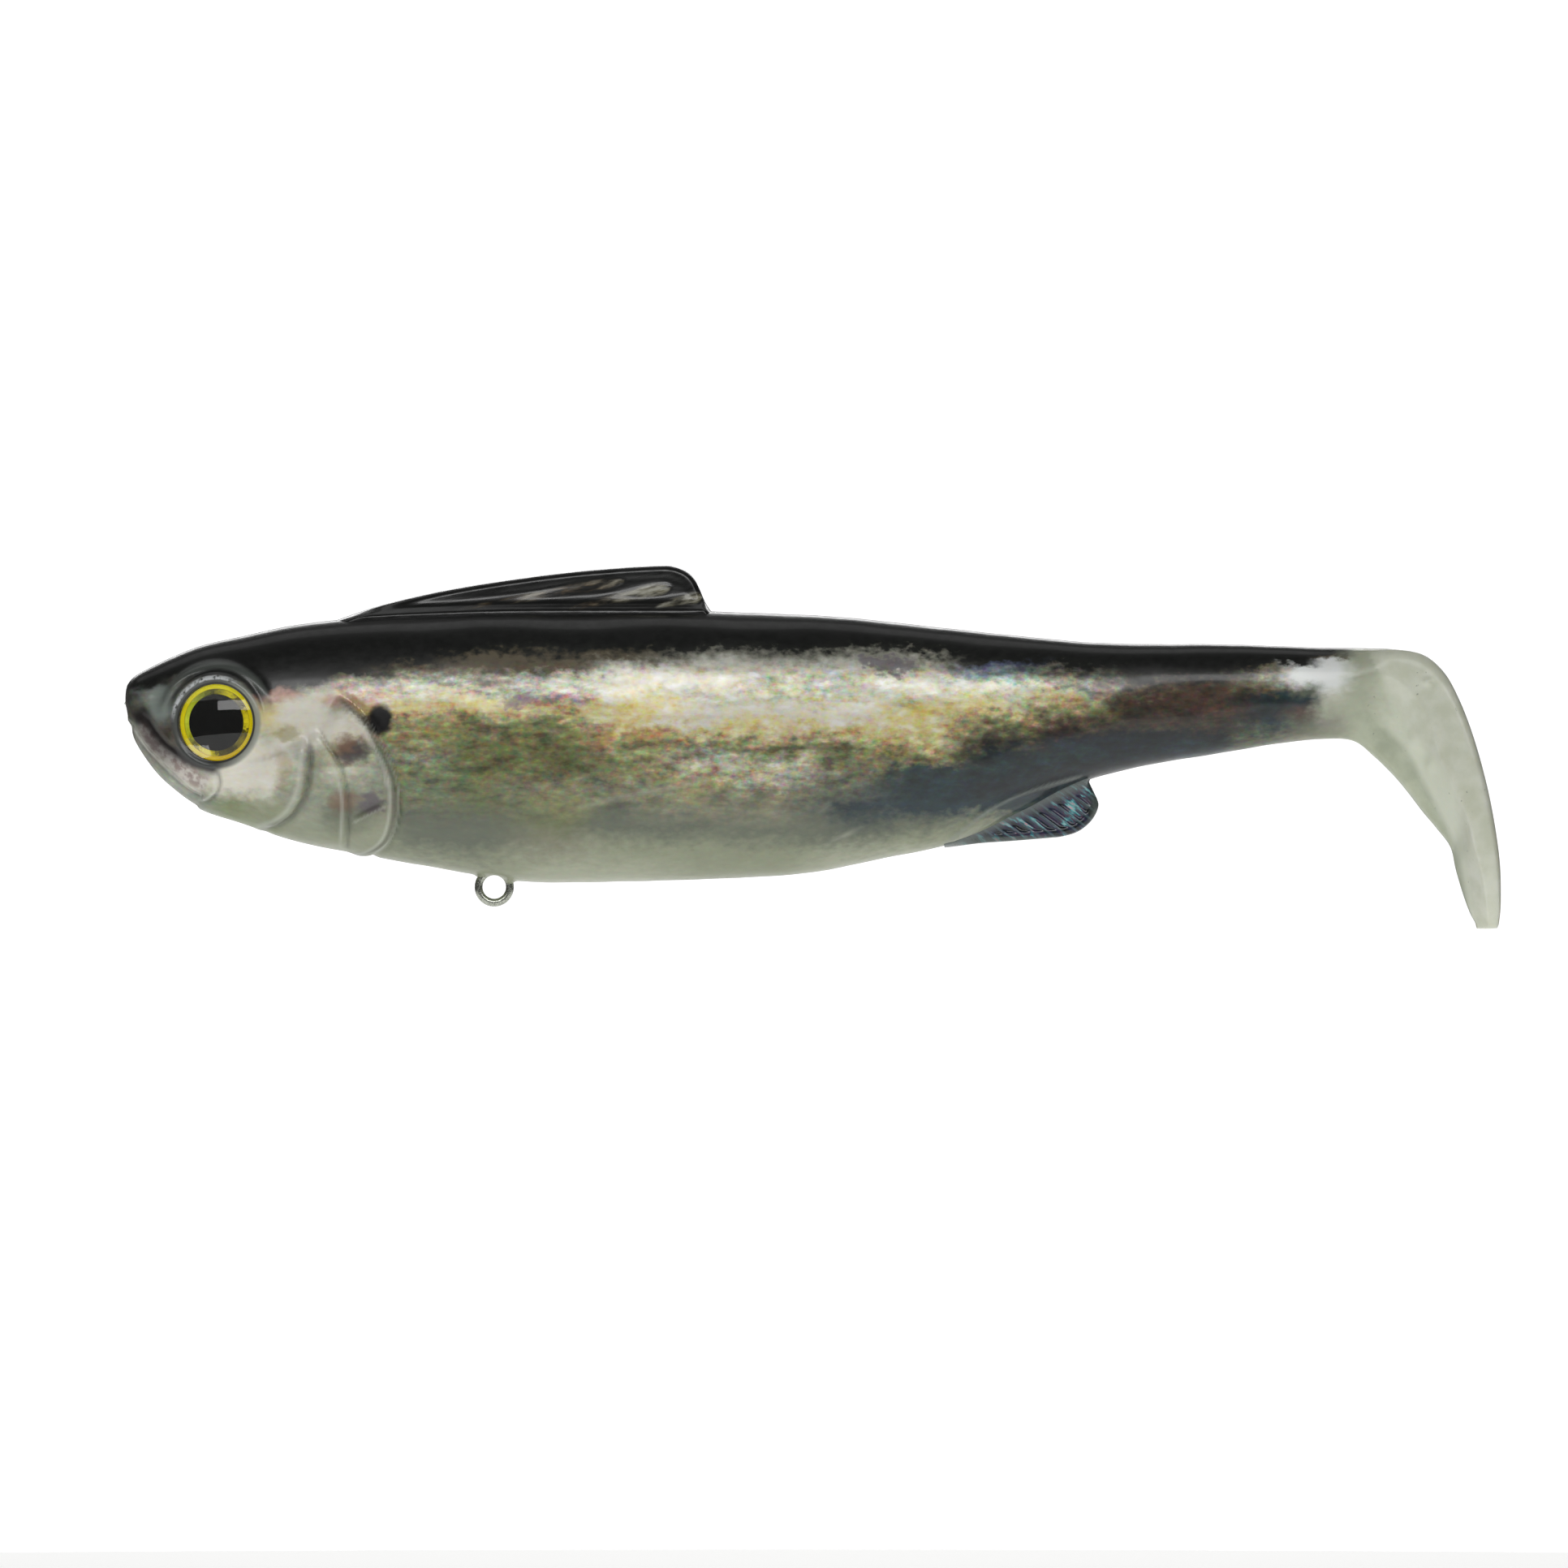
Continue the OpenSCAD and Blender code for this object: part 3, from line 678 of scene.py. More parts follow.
def piece_from_rings(name, rings, caps=True):
    """One closed mesh through a grid of rings, with a fan of triangles at each end."""
    rings = np.asarray(rings)
    count, around = rings.shape[:2]
    points = to_metres(rings.reshape(-1, 3))
    number = np.arange(count * around).reshape(count, around)
    a, b = number[:-1], np.roll(number, -1, axis=1)[:-1]
    c, d = np.roll(number, -1, axis=1)[1:], number[1:]
    faces = np.stack([a, b, c, d], axis=-1).reshape(-1, 4).tolist()
    if caps:
        ends = to_metres([rings[0].mean(axis=0), rings[-1].mean(axis=0)])
        points = np.concatenate([points, ends])
        first, last = count * around, count * around + 1
        faces += [(first, number[0, (k + 1) % around], number[0, k]) for k in range(around)]
        faces += [(last, number[-1, k], number[-1, (k + 1) % around]) for k in range(around)]
    mesh = bpy.data.meshes.new(name)
    mesh.from_pydata(points.tolist(), [], [tuple(map(int, f)) for f in faces])
    shape = bmesh.new()
    shape.from_mesh(mesh)
    bmesh.ops.recalc_face_normals(shape, faces=shape.faces)
    shape.to_mesh(mesh)
    shape.free()
    thing = bpy.data.objects.new(name, mesh)
    bpy.context.collection.objects.link(thing)
    return thing


# %% [markdown]
# ### Cutting holes
#
# The casting is cut for the eyes' sockets, for the line's way from the nose to the belly, and for
# the hook's hole through the hanger. A Boolean does each, with the exact solver, which keeps the
# mesh closed.


# %% Rods and cuts
def rod(name, start, end, radius, sides=96):
    """A plain rod between two points, used as a cutter."""
    start, end = Vector(start), Vector(end)
    way = (end - start).normalized()
    side_way = way.orthogonal().normalized()
    other_way = way.cross(side_way)
    turns = [2 * math.pi * k / sides for k in range(sides)]
    ring = [radius * (math.cos(t) * side_way + math.sin(t) * other_way) for t in turns]
    return piece_from_rings(name, [[start + p for p in ring], [end + p for p in ring]])


def cut_away(piece, tool):
    """Takes one closed mesh out of another, and throws the cutter away."""
    step = piece.modifiers.new("cut", "BOOLEAN")
    step.operation, step.solver, step.object = "DIFFERENCE", "EXACT", tool
    bpy.context.view_layer.update()
    cut = piece.evaluated_get(bpy.context.evaluated_depsgraph_get())
    result = bpy.data.meshes.new_from_object(cut)
    piece.modifiers.clear()
    piece.data = result
    bpy.data.objects.remove(tool)


print("cutters ready")

# %% [markdown]
# ### Three skins, two joins
#
# A piece can bend across one joint only, so the casting is made as three skins that meet where the
# fish doesn't bend: head and belly, then the wrist, then the tail. The light must not show the
# joins, so the points at a join keep the normals of the uncut skin.

# %% The three skins
front_cut, rear_cut = cut_numbers
tip = skin[-1]
tip_middle = tip.mean(axis=0)
TIP_ROUNDING = [(0.97, 0.07), (0.90, 0.13), (0.66, 0.16), (0.33, 0.17)]
tip_rings = [tip_middle + (tip - tip_middle) * size - (0, 0, drop) for size, drop in TIP_ROUNDING]

front_skin = piece_from_rings("front_skin", skin[: front_cut + 1])
rear_skin = piece_from_rings("rear_skin", skin[front_cut: rear_cut + 1])
tail_skin = piece_from_rings("tail_skin", np.concatenate([skin[rear_cut:], tip_rings]))
print("points:", [len(o.data.vertices) for o in (front_skin, rear_skin, tail_skin)])

# %% Cuts in the front skin
for side in SIDES:
    centre, way, _ = EYES[side]
    cut_away(front_skin, rod("socket", centre - way * SOCKET_DEPTH, centre + way * 5, SOCKET_RADIUS))

LINE_FALL = math.radians(29)
TUBE_SEAT, HOOK_HOLE = 0.97, 1.31  # radii of the two plain holes
LINE_WAY = Vector((math.cos(LINE_FALL), 0, -math.sin(LINE_FALL)))
line_start = Vector((NOSE_LIP, 0, 0))
cut_away(
    front_skin,
    rod("line_way", line_start - 3 * LINE_WAY, line_start + 42 * LINE_WAY, TUBE_SEAT, sides=48),
)
hook_hole = Vector((HANGER[0], 0, HANGER[1]))
across = Vector((0, 4, 0))
cut_away(front_skin, rod("hook_hole", hook_hole - across, hook_hole + across, HOOK_HOLE, sides=64))
for piece in (front_skin, rear_skin, tail_skin):
    crisp_edges(piece.data)
print("front skin now has", len(front_skin.data.vertices), "points")

# %% [markdown]
# ### Where the paint goes
#
# The paint must move with the plastic, so each point remembers where it was in the mould. A few
# masks are worked out here too, from the same curves as the carving: painted shade in the grooves,
# painted highlights beside them, the stripe over the jaw, and the plates of the head.


# %% Masks on the points
def band(x, z, points, half, soft, fade=(0.8, 0.8)):
    """1 within half a width of a curve, falling softly to 0."""
    d, along, length = distance_to(x, z, points)
    ends = smooth(0, fade[0], along + 0.01) * smooth(0, fade[1], length - along + 0.01)
    return ends * (1 - smooth(half - soft, half + soft, np.abs(d)))


def in_front_of(x, z, points, soft):
    """1 on the right of a curve as it is drawn, 0 on its left."""
    return smooth(-soft, soft, -distance_to(x, z, points)[0])


STRIPE = [(1.2, -0.6), (2.3, -2.8), (3.6, -5.0), (5.5, -6.4), (7.8, -7.0), (9.6, -7.5), (11.2, -7.9)]
LIP = [(1.2, -3.0), (2.6, -5.0), (4.4, -6.9), (6.4, -8.3), (8.2, -9.3), (9.4, -9.9)]
HEAD_END = [(24.2, 6.0), (22.8, 3.0), (23.2, 0.9), *GILL_EDGE[1:]]
# Painted sheen: pale streaks where slight dents in the belly would reflect the light.
SHEEN_STREAKS = [
    [(49.0, -12.7), (56.0, -11.0), (64.5, -9.4)], [(75.8, -13.4), (77.8, -12.2), (78.3, -10.4)],
    [(77.0, -16.6), (80.0, -15.3), (82.6, -14.0)],
]
REAR_BAND = [
    (139.0, 2.5), (142.2, -3.6), (144.3, -6.1), (146.3, -8.7), (147.5, -12.2), (148.5, -18.0),
    (149.6, -26.0),
]
KEEL_BAND = [
    (135.6, 0.4), (138.0, -2.0), (141.7, -5.6), (144.8, -11.2), (147.0, -15.8), (148.2, -19.8),
    (149.3, -26.0),
]


# Painted shade: dark paint along the carved lines, where shade falls in the grooves.
# Curve, how far its band is moved along and up, half width, softness, fade at its ends, strength.
GROOVE_SHADE_LINES = [
    (GILL_EDGE, -0.34, 0, 0.24, 0.22, (2.0, 1.5), 0.8),
    (GILL_BEAD, -0.1, 0, 0.14, 0.2, (0.8, 0.8), 0.55),
    (GILL_FRONT, 0.3, 0, 0.16, 0.2, (0.8, 0.8), 0.6),
    (CHEEK_EDGE, 0.4, 0, 0.3, 0.3, (2.5, 0.8), 0.8),
    (THROAT_FOLD, 0, 0.3, 0.14, 0.2, (0.8, 0.8), 0.7),
    (MOUTH, 0, 0, 0.12, 0.22, (0.2, 0.9), 0.75),
    (MOUTH_CORNER, 0.35, 0, 0.16, 0.22, (0.8, 0.8), 0.7),
]
# Painted highlights: pale paint beside the carved lines, where their ridges catch the light.
RIDGE_HIGHLIGHT_LINES = [
    (GILL_BEAD, -0.05, 0, 0.10, 0.16, (0.8, 0.8), 0.9),
    (GILL_EDGE, -0.85, 0, 0.12, 0.2, (5.0, 2.5), 0.8),
    (GILL_EDGE, 0.1, 0, 0.08, 0.14, (6.0, 2.0), 0.6),
    (GILL_FRONT, -0.55, 0, 0.12, 0.22, (2.0, 2.0), 0.75),
    (CHEEK_EDGE, -0.75, 0, 0.2, 0.35, (3.0, 2.5), 0.8),
    (THROAT_FOLD, 0, -0.35, 0.10, 0.16, (0.8, 0.8), 0.7),
    (MOUTH, 0, 0.45, 0.10, 0.18, (1.0, 0.8), 0.6),
    (MOUTH_CORNER, -0.1, 0, 0.12, 0.2, (0.8, 0.8), 0.8),
]


def strongest(x, z, rows):
    """The strongest of several bands at each point."""
    return np.maximum.reduce([
        band(x - along, z - up, line, half, soft, fade) * strength
        for line, along, up, half, soft, fade, strength in rows
    ])


MASKS = {
    "groove": lambda x, z: strongest(x, z, GROOVE_SHADE_LINES),
    "lit": lambda x, z: strongest(x, z, RIDGE_HIGHLIGHT_LINES),
    "stripe": lambda x, z: band(x, z, STRIPE, 0.95, 0.42, (1.6, 1.2)),
    "lip": lambda x, z: band(x, z, LIP, 0.85, 0.55, (1.0, 0.6)),
    "head": lambda x, z: in_front_of(x, z, HEAD_END, 0.3),
    "fold": lambda x, z: strongest(x, z, [(line, 0, 0, 0.10, 0.45, (3.0, 3.0), 1) for line in SHEEN_STREAKS]),
    "fillet": lambda x, z: band(x, z, FIN_FILLET, 0.14, 0.24, (1.5, 1.0)),
    "rear_band": lambda x, z: smooth(-0.5, 0.5, distance_to(x, z, REAR_BAND)[0]) * smooth(136, 140, x),
    "keel_band": lambda x, z: smooth(0.5, -0.5, distance_to(x, z, KEEL_BAND)[0]) * smooth(135, 138, x),
}


def remember_mould(piece, masks=None, reach=200):
    """Stores each point's place in the mould, in millimetres, and the masks asked for."""
    mesh = piece.data
    places = np.zeros(len(mesh.vertices) * 3, np.float32)
    mesh.vertices.foreach_get("co", places)
    places = places.reshape(-1, 3) / MM + (NOSE_LIP, 0, 0)
    mesh.attributes.new("mould", "FLOAT_VECTOR", "POINT").data.foreach_set("vector", places.ravel())
    for name, mask in (masks or {}).items():
        near = places[:, 0] < reach
        values = np.zeros(len(places), np.float32)
        values[near] = mask(places[near, 0], places[near, 2])
        mesh.attributes.new(name, "FLOAT", "POINT").data.foreach_set("value", values)


for piece in (front_skin, rear_skin, tail_skin):
    remember_mould(piece, MASKS)
print("masks:", ", ".join(MASKS))


# %% Hidden joins
JOIN_REACH = 2e-5  # metres; points this near the cut belong to it


def keep_join_normals(piece, cuts):
    """Gives the points at each join the uncut skin's normals. A zero vector keeps the usual one."""
    mesh = piece.data
    normals = [(0.0, 0.0, 0.0)] * len(mesh.loops)
    for number in cuts:
        ring = to_metres(skin[number])
        lookup = KDTree(len(ring))
        for k, place in enumerate(ring):
            lookup.insert(place, k)
        lookup.balance()
        level = ring[:, 0].mean()
        for face in mesh.polygons:
            if abs(face.center.x - level) < JOIN_REACH:
                continue
            for corner in face.loop_indices:
                place = mesh.vertices[mesh.loops[corner].vertex_index].co
                if abs(place.x - level) < JOIN_REACH:
                    normals[corner] = tuple(skin_normals[number, lookup.find(place)[1]])
    mesh.normals_split_custom_set(normals)


keep_join_normals(front_skin, [front_cut])
keep_join_normals(rear_skin, [front_cut, rear_cut])
keep_join_normals(tail_skin, [rear_cut])
print("joins at", CUTS, "mm")

# %% [markdown]
# ## The paint on the fish
#
# The casting is clear soft plastic (plastisol), printed and sprayed in soft bands: a black back,
# silver, lilac and gold on the flank, olive and slate below, and a grey-green belly where the
# plastic shows through. The bands change along the fish. The spray plan gives them station by
# station: each line says how high a paint is centred, in millimetres, and neighbours blend.

# %% Paints
PAINTS = {
    "black": "#070906", "soot": "#171a14", "brown": "#423a30", "rust": "#54443c", "umber": "#675f4c",
    "smoke": "#97978a", "silver": "#cdcec4", "white": "#efece0", "pearl": "#d6d8c8",
    "lilac": "#b7abb9", "pink": "#dcbcac", "straw": "#dcd2a9", "gold": "#cdb27a", "khaki": "#aca87d",
    "olive": "#92966a", "moss": "#757c56", "fern": "#848f66", "stone": "#8d8e78", "slate": "#6c7362",
    "belly": "#959b81", "edge": "#abb098", "teal": "#20373f", "navy": "#17232b", "blue": "#596282",
    # The near-white paint used only at the wrist is a painted highlight.
    "aqua": "#aec4bc", "milk": "#b9bfa9", "glass": "#e4e9d6", "frost": "#fbfffc", "sand": "#efe3b8",
    "plate": "#a3a995", "jaw": "#98a090", "nose": "#87918a", "rose": "#bb9488",
}
LOW, HIGH = -22.0, 10.0  # the heights that a ramp covers

BODY_PLAN = {
    20: "black 1.8, soot 1.3, umber .9, silver .3, pink -1, gold -2.6, olive -5, belly -12",
    26: "black 2.9, soot 2.5, smoke 1.9, silver 1.2, pink -.2, sand -1.6, khaki -3.4, belly -5, "
        "belly -8.5, stone -11, slate -13.5, belly -16.6",
    33: "black 4.6, soot 3.8, umber 3.1, smoke 2.2, silver 1.2, pearl -.2, sand -1.6, khaki -3.2, "
        "khaki -5, belly -7, fern -9, slate -13, slate -16, belly -18.4",
    40: "black 5.6, soot 4.9, umber 4, umber 2.8, smoke 1.8, silver .8, sand -.2, straw -1.6, "
        "khaki -3, olive -4.5, moss -7.5, moss -11, slate -13.6, slate -16, belly -18.6",
    48: "black 6.2, soot 5.2, umber 4, umber 3.1, silver 2, pearl .9, lilac 0, straw -1.6, "
        "olive -3.2, moss -6, moss -8, stone -10, olive -12, moss -14, stone -16.4, edge -19.4",
    56: "black 6.2, soot 5.4, umber 4.2, silver 3, white 2, white .4, sand -1.2, sand -2.8, "
        "gold -4.4, khaki -6, olive -8, stone -10, slate -12, slate -14.4, belly -16.8, edge -19.4",
    64: "black 6.2, soot 5.4, smoke 4.2, silver 3.2, white 2, white .8, pearl -.2, white -1.6, "
        "white -3.2, straw -4.6, stone -5.9, pearl -7.6, khaki -9.8, stone -12.4, slate -14.4, "
        "belly -17",
    72: "black 6.2, soot 5.4, smoke 4.1, silver 3, silver 1.8, pearl .2, white -1.6, sand -3.2, "
        "straw -4.6, olive -6.2, pearl -8.2, stone -10.6, stone -12.8, slate -15.4, belly -18",
    80: "black 6.2, soot 5.4, smoke 4.3, silver 3.3, silver 1.6, pearl .2, white -1.6, white -3, "
        "straw -4.6, olive -6.2, stone -8, slate -10, teal -12.4, slate -15.4, edge -18.4",
    88: "black 5.8, soot 5.1, smoke 4.3, silver 3.3, white 1.8, pearl .2, sand -1.6, sand -3, "
        "straw -4.6, khaki -6.2, teal -8.2, teal -10, teal -12.4, slate -14.4, belly -16.4, edge -18",
    96: "black 5, soot 4.2, blue 3.4, aqua 2, white .9, pearl -.2, sand -1.6, khaki -2.8, "
        "umber -4.4, navy -6, teal -8, navy -10.2, teal -12.2, belly -14.6",
    104: "black 4.4, soot 3.4, smoke 1.9, silver 1, straw .2, khaki -1, umber -2.4, brown -3.4, "
        "navy -4.4, teal -6.2, navy -8, navy -10, teal -11.4, slate -13",
    112: "black 2.6, soot 1.9, brown 1.4, umber .7, brown 0, brown -3, navy -4.2, navy -6, navy -7.6",
    120: "black 3, soot 2.1, brown 1.5, rust .6, rust -1.4, brown -3, navy -4.6, teal -6.2",
    127: "black 3.8, soot 3.3, umber 2.9, smoke 2.2, umber 1, teal .2, navy -1.5, teal -3, slate -4.7",
    # At the wrist a near-white painted highlight lies under the black.
    131: "black 3.9, soot 3.6, frost 3.1, frost 1.9, slate .8, teal -.2, rust -1.6, slate -3.2, "
        "stone -4.8",
    133.5: "soot 4.5, umber 4.2, frost 3.9, frost 1.2, pearl .2, milk -1.4, smoke -3, belly -4.8",
    137: "milk 6, milk -6", 143: "glass 6, glass -20",
}
HEAD_PLAN = {
    0: "black 2, soot .6, brown -1.2, jaw -3.8, jaw -8",
    4: "black 2.2, soot 1.2, nose .5, nose -2, brown -4, umber -6.4, jaw -8.2, jaw -12",
    8: "black 3.4, soot 2.4, smoke 1.2, smoke -1, smoke -7.6, white -9.6, jaw -11, jaw -14",
    12: "black 3.4, soot 2.4, smoke 1.2, pearl -1, white -8, white -10, fern -11.8, fern -15",
    16: "black .9, soot .5, rose -.1, straw -1, sand -2.6, pearl -4.6, white -6.2, white -10, "
        "pearl -11.2, plate -12.6, fern -14.8",
    18: "black 1.4, soot 1, rose .4, white -.5, white -2.8, straw -4, white -5.4, pearl -8, "
        "plate -10, plate -12, belly -15",
    21: "black 1.7, soot 1.3, pearl .3, white -.8, white -4, white -5, plate -6.6, plate -12, "
        "belly -17",
    24: "black 2.3, soot 1.8, silver .9, pink -.4, pearl -1.6, white -2.8, white -4.2, khaki -6, "
        "pearl -8.2, plate -10, slate -12.4, belly -16",
    30: "black 4.4, soot 3.7, smoke 2.4, pearl 1, pink -1.2, rose -2.6, plate -6, plate -9, "
        "stone -12, edge -15.5, belly -18",
}
print(len(PAINTS), "paints at", len(BODY_PLAN) + len(HEAD_PLAN), "stations")


# %% From the plan to nodes
def sprayed(tree, along, level, plan):
    """All stations of a spray plan, mixed along the fish. level runs from 0 at LOW to 1 at HIGH."""
    colour = None
    before = None
    for station, words in sorted(plan.items()):
        bands = [word.split() for word in words.split(",")]
        stops = sorted(((float(z) - LOW) / (HIGH - LOW), PAINTS[name]) for name, z in bands)
        coat = add(tree, "ValToRGB", level, stops=stops)
        if colour is None:
            colour = coat
        else:
            colour = add(
                tree, "Mix",
                {0: add(tree, "MapRange", along, before, station, **EVEN), 6: colour, 7: coat},
                **COLOURS,
            )
        before = station
    return colour


def noise(tree, place, size, detail=2.0, out=0, stretch=(1, 1, 1), **settings):
    """Noise whose blotches are about this many millimetres across."""
    scaled = add(tree, "VectorMath", place, stretch, operation="MULTIPLY")
    return add(
        tree, "TexNoise", {"Vector": scaled, "Scale": 1 / size, "Detail": detail}, out=out, **settings,
    )


def spot(tree, x, z, centre, size, soft=0.85):
    """A soft round spot of paint, 1 in its middle."""
    across = add(
        tree, "Math",
        add(
            tree, "Math",
            add(
                tree, "Math", add(tree, "Math", x, centre[0], operation="SUBTRACT"), size[0],
                operation="DIVIDE",
            ),
            operation="ABSOLUTE",
        ),
        2.0, operation="POWER",
    )
    up_way = add(
        tree, "Math",
        add(
            tree, "Math",
            add(
                tree, "Math", add(tree, "Math", z, centre[1], operation="SUBTRACT"), size[1],
                operation="DIVIDE",
            ),
            operation="ABSOLUTE",
        ),
        2.0, operation="POWER",
    )
    return add(
        tree, "MapRange", add(tree, "Math", across, up_way, operation="ADD"), 1 + soft, 1 - soft,
        **EVEN,
    )


# %% [markdown]
# Real bands have ragged edges, because a print follows the scales and a spray spits. So the plan
# is read at places that noise has pushed about: slowly for the shape of a band, and quickly for
# its speckled edge. Then come fine coloured specks, like light on small scales, and the overlays
# that belong to the head.


# %% Painted skin
def painted_skin():
    """Painted clear plastisol: soft, glossy, and lit a little from inside."""
    material, tree, shader = new_material("painted plastisol")
    mould = add(tree, "Attribute", out=1, attribute_name="mould")
    masks = {name: add(tree, "Attribute", out=2, attribute_name=name) for name in MASKS}
    true_x = add(tree, "SeparateXYZ", mould)
    true_z = true_x.node.outputs[2]

    slow = noise(tree, mould, 6.0, out=1, stretch=(0.7, 1, 1))
    quick = noise(tree, mould, 0.75, detail=4.0, out=1, stretch=(0.7, 1, 1))
    push = add(tree, "VectorMath", slow, (-0.5, -0.5, -0.5), operation="ADD")
    push = add(tree, "VectorMath", push, (9.0, 0, 3.6), operation="MULTIPLY")
    spit = add(tree, "VectorMath", quick, (-0.5, -0.5, -0.5), operation="ADD")
    spit = add(tree, "VectorMath", spit, (4.0, 0, 3.4), operation="MULTIPLY")
    calm = add(
        tree, "Math", add(tree, "MapRange", true_x, 24, 34, **EVEN),
        add(tree, "MapRange", true_x, 132, 124, 0.15, 1.0, **EVEN), operation="MULTIPLY",
    )
    push = add(
        tree, "VectorMath",
        {0: push, "Scale": add(tree, "Math", calm, 0.7, 0.3, operation="MULTIPLY_ADD")},
        operation="SCALE",
    )
    spit = add(
        tree, "VectorMath",
        {0: spit, "Scale": add(tree, "Math", calm, 0.6, 0.4, operation="MULTIPLY_ADD")},
        operation="SCALE",
    )
    moved = add(tree, "VectorMath", mould, push, operation="ADD")
    moved = add(tree, "VectorMath", moved, spit, operation="ADD")
    x = add(tree, "SeparateXYZ", moved)
    z = x.node.outputs[2]
    level = add(tree, "MapRange", {"Value": z, "From Min": LOW, "From Max": HIGH})

    body = sprayed(tree, x, level, BODY_PLAN)
    head = sprayed(tree, x, level, HEAD_PLAN)
    colour = add(tree, "Mix", {0: masks["head"], 6: body, 7: head}, **COLOURS)

    clean = add(tree, "Math", masks["head"], -0.62, 1.0, operation="MULTIPLY_ADD")
    # Patches of gold, pink and lilac drift over the middle of the flank.
    flank = add(
        tree, "Math", add(tree, "MapRange", true_z, 4.4, 2.2, **EVEN),
        add(tree, "MapRange", true_z, -15.5, -8.5, **EVEN), operation="MULTIPLY",
    )
    flank = add(
        tree, "Math", flank,
        add(tree, "Math", clean, add(tree, "MapRange", true_x, 133, 124, **EVEN), operation="MULTIPLY"),
        operation="MULTIPLY",
    )
    drift = noise(tree, mould, 3.4, detail=3.0, out=1, stretch=(0.6, 1, 1))
    tint = add(
        tree, "ValToRGB", drift.node.outputs[0],
        stops=[
            (0.0, "#8a7f9c"), (0.38, "#9a8c84"), (0.46, "#c9a06a"), (0.52, "#a8a878"),
            (0.58, "#8fa0a0"), (0.66, "#b58c9a"), (1.0, "#d8c08a"),
        ],
    )
    colour = add(
        tree, "Mix",
        {0: add(tree, "Math", flank, 0.3, operation="MULTIPLY"), 6: colour, 7: tint},
        **COLOURS, blend_type="OVERLAY",
    )

    # Specks half a millimetre across, like light on small scales.
    speck = noise(tree, mould, 0.5, detail=3.0, out=1, stretch=(0.8, 1, 1))
    speck = add(
        tree, "VectorMath", speck, (2.4, 2.4, 2.4), (-0.7, -0.7, -0.7), operation="MULTIPLY_ADD",
    )
    colour = add(
        tree, "Mix",
        {0: add(tree, "Math", flank, 0.3, 0.04, operation="MULTIPLY_ADD"), 6: colour, 7: speck},
        **COLOURS, blend_type="OVERLAY",
    )
    # Darker and lighter grains, drawn out along the fish like brushed fibres.
    fibre = noise(tree, mould, 0.9, detail=6.0, stretch=(0.42, 1, 1))
    fibre = add(
        tree, "ValToRGB", fibre,
        stops=[(0.34, "#3a3733"), (0.46, "#a8a6a0"), (0.56, "#c4c4be"), (0.68, "#ffffff")],
    )
    colour = add(
        tree, "Mix",
        {0: add(tree, "Math", flank, 0.55, 0.05, operation="MULTIPLY_ADD"), 6: colour, 7: fibre},
        **COLOURS, blend_type="OVERLAY",
    )

    # Blotches on the gill cover, and the dark spot behind it.
    blotches = [
        ((24.6, -0.9), (2.0, 0.9), "#8a5a50", 0.35), ((26.8, -2.4), (1.3, 1.1), "#43311f", 0.85),
        ((25.4, -6.1), (1.7, 1.5), "#38283a", 0.85), ((24.6, -5.2), (1.2, 1.0), "#9a7456", 0.5),
        ((24.4, -11.6), (1.6, 1.3), "#8a6248", 0.55), ((27.4, -11.8), (1.2, 1.2), "#5a4a5e", 0.65),
        ((18.0, 0.2), (1.8, 0.8), "#c08e78", 0.45), ((17.6, -8.2), (0.9, 2.0), "#b98a4a", 0.25),
        ((18.4, -4.2), (1.5, 0.8), "#8f8a52", 0.45), ((15.8, -12.6), (2.8, 1.1), "#8f9468", 0.4),
        ((44.2, -0.2), (1.6, 0.8), "#6f5f80", 0.55), ((84.0, 3.3), (1.6, 0.8), "#55485c", 0.7),
    ]
    for centre, size, shade, share in blotches:
        mask = add(tree, "Math", spot(tree, x, z, centre, size), share, operation="MULTIPLY")
        colour = add(tree, "Mix", {0: mask, 6: colour, 7: linear(shade)}, **COLOURS)

    # The dark spot on the shoulder is sprayed last, so its edge is only a little ragged.
    near = add(tree, "VectorMath", {0: spit, "Scale": 0.28}, operation="SCALE")
    near = add(tree, "SeparateXYZ", add(tree, "VectorMath", mould, near, operation="ADD"))
    colour = add(
        tree, "Mix",
        {
            0: spot(tree, near, near.node.outputs[2], (28.5, -2.6), (1.35, 1.7), 0.5),
            6: colour, 7: "#060505",
        },
        **COLOURS,
    )

    # The snout's patch, the stripe over the jaw, the lip, painted shade in the carved lines and painted
    # highlights beside them.
    snout = spot(tree, true_x, true_z, (4.2, -0.7), (1.3, 1.9), 0.5)
    colour = add(
        tree, "Mix",
        {0: add(tree, "Math", snout, 0.7, operation="MULTIPLY"), 6: colour, 7: "#8f9a94"},
        **COLOURS,
    )
    colour = add(tree, "Mix", {0: masks["stripe"], 6: colour, 7: "#150e0d"}, **COLOURS)
    lip = add(
        tree, "Mix",
        {
            0: add(tree, "MapRange", noise(tree, mould, 0.9, detail=4.0), 0.36, 0.62, **EVEN),
            6: "#a08b86", 7: "#e4ded6",
        },
        **COLOURS,
    )
    colour = add(
        tree, "Mix",
        {
            0: add(
                tree, "Math", masks["lip"], add(tree, "MapRange", true_x, 3.6, 7, 0.3, 0.85, **EVEN),
                operation="MULTIPLY",
            ),
            6: colour, 7: lip,
        },
        **COLOURS,
    )
    # Painted shade: darker paint along the carved lines.
    groove_shade = add(tree, "Math", masks["groove"], 0.72, operation="MULTIPLY")
    colour = add(tree, "Mix", {0: groove_shade, 6: colour, 7: "#3f4038"}, **COLOURS)
    # Painted highlights: pale paint along the ridges beside the carved lines.
    colour = add(
        tree, "Mix",
        {0: add(tree, "Math", masks["lit"], 0.6, operation="MULTIPLY"), 6: colour, 7: "#dde2d6"},
        **COLOURS,
    )
    colour = around_sockets(tree, mould, true_x, true_z, colour)
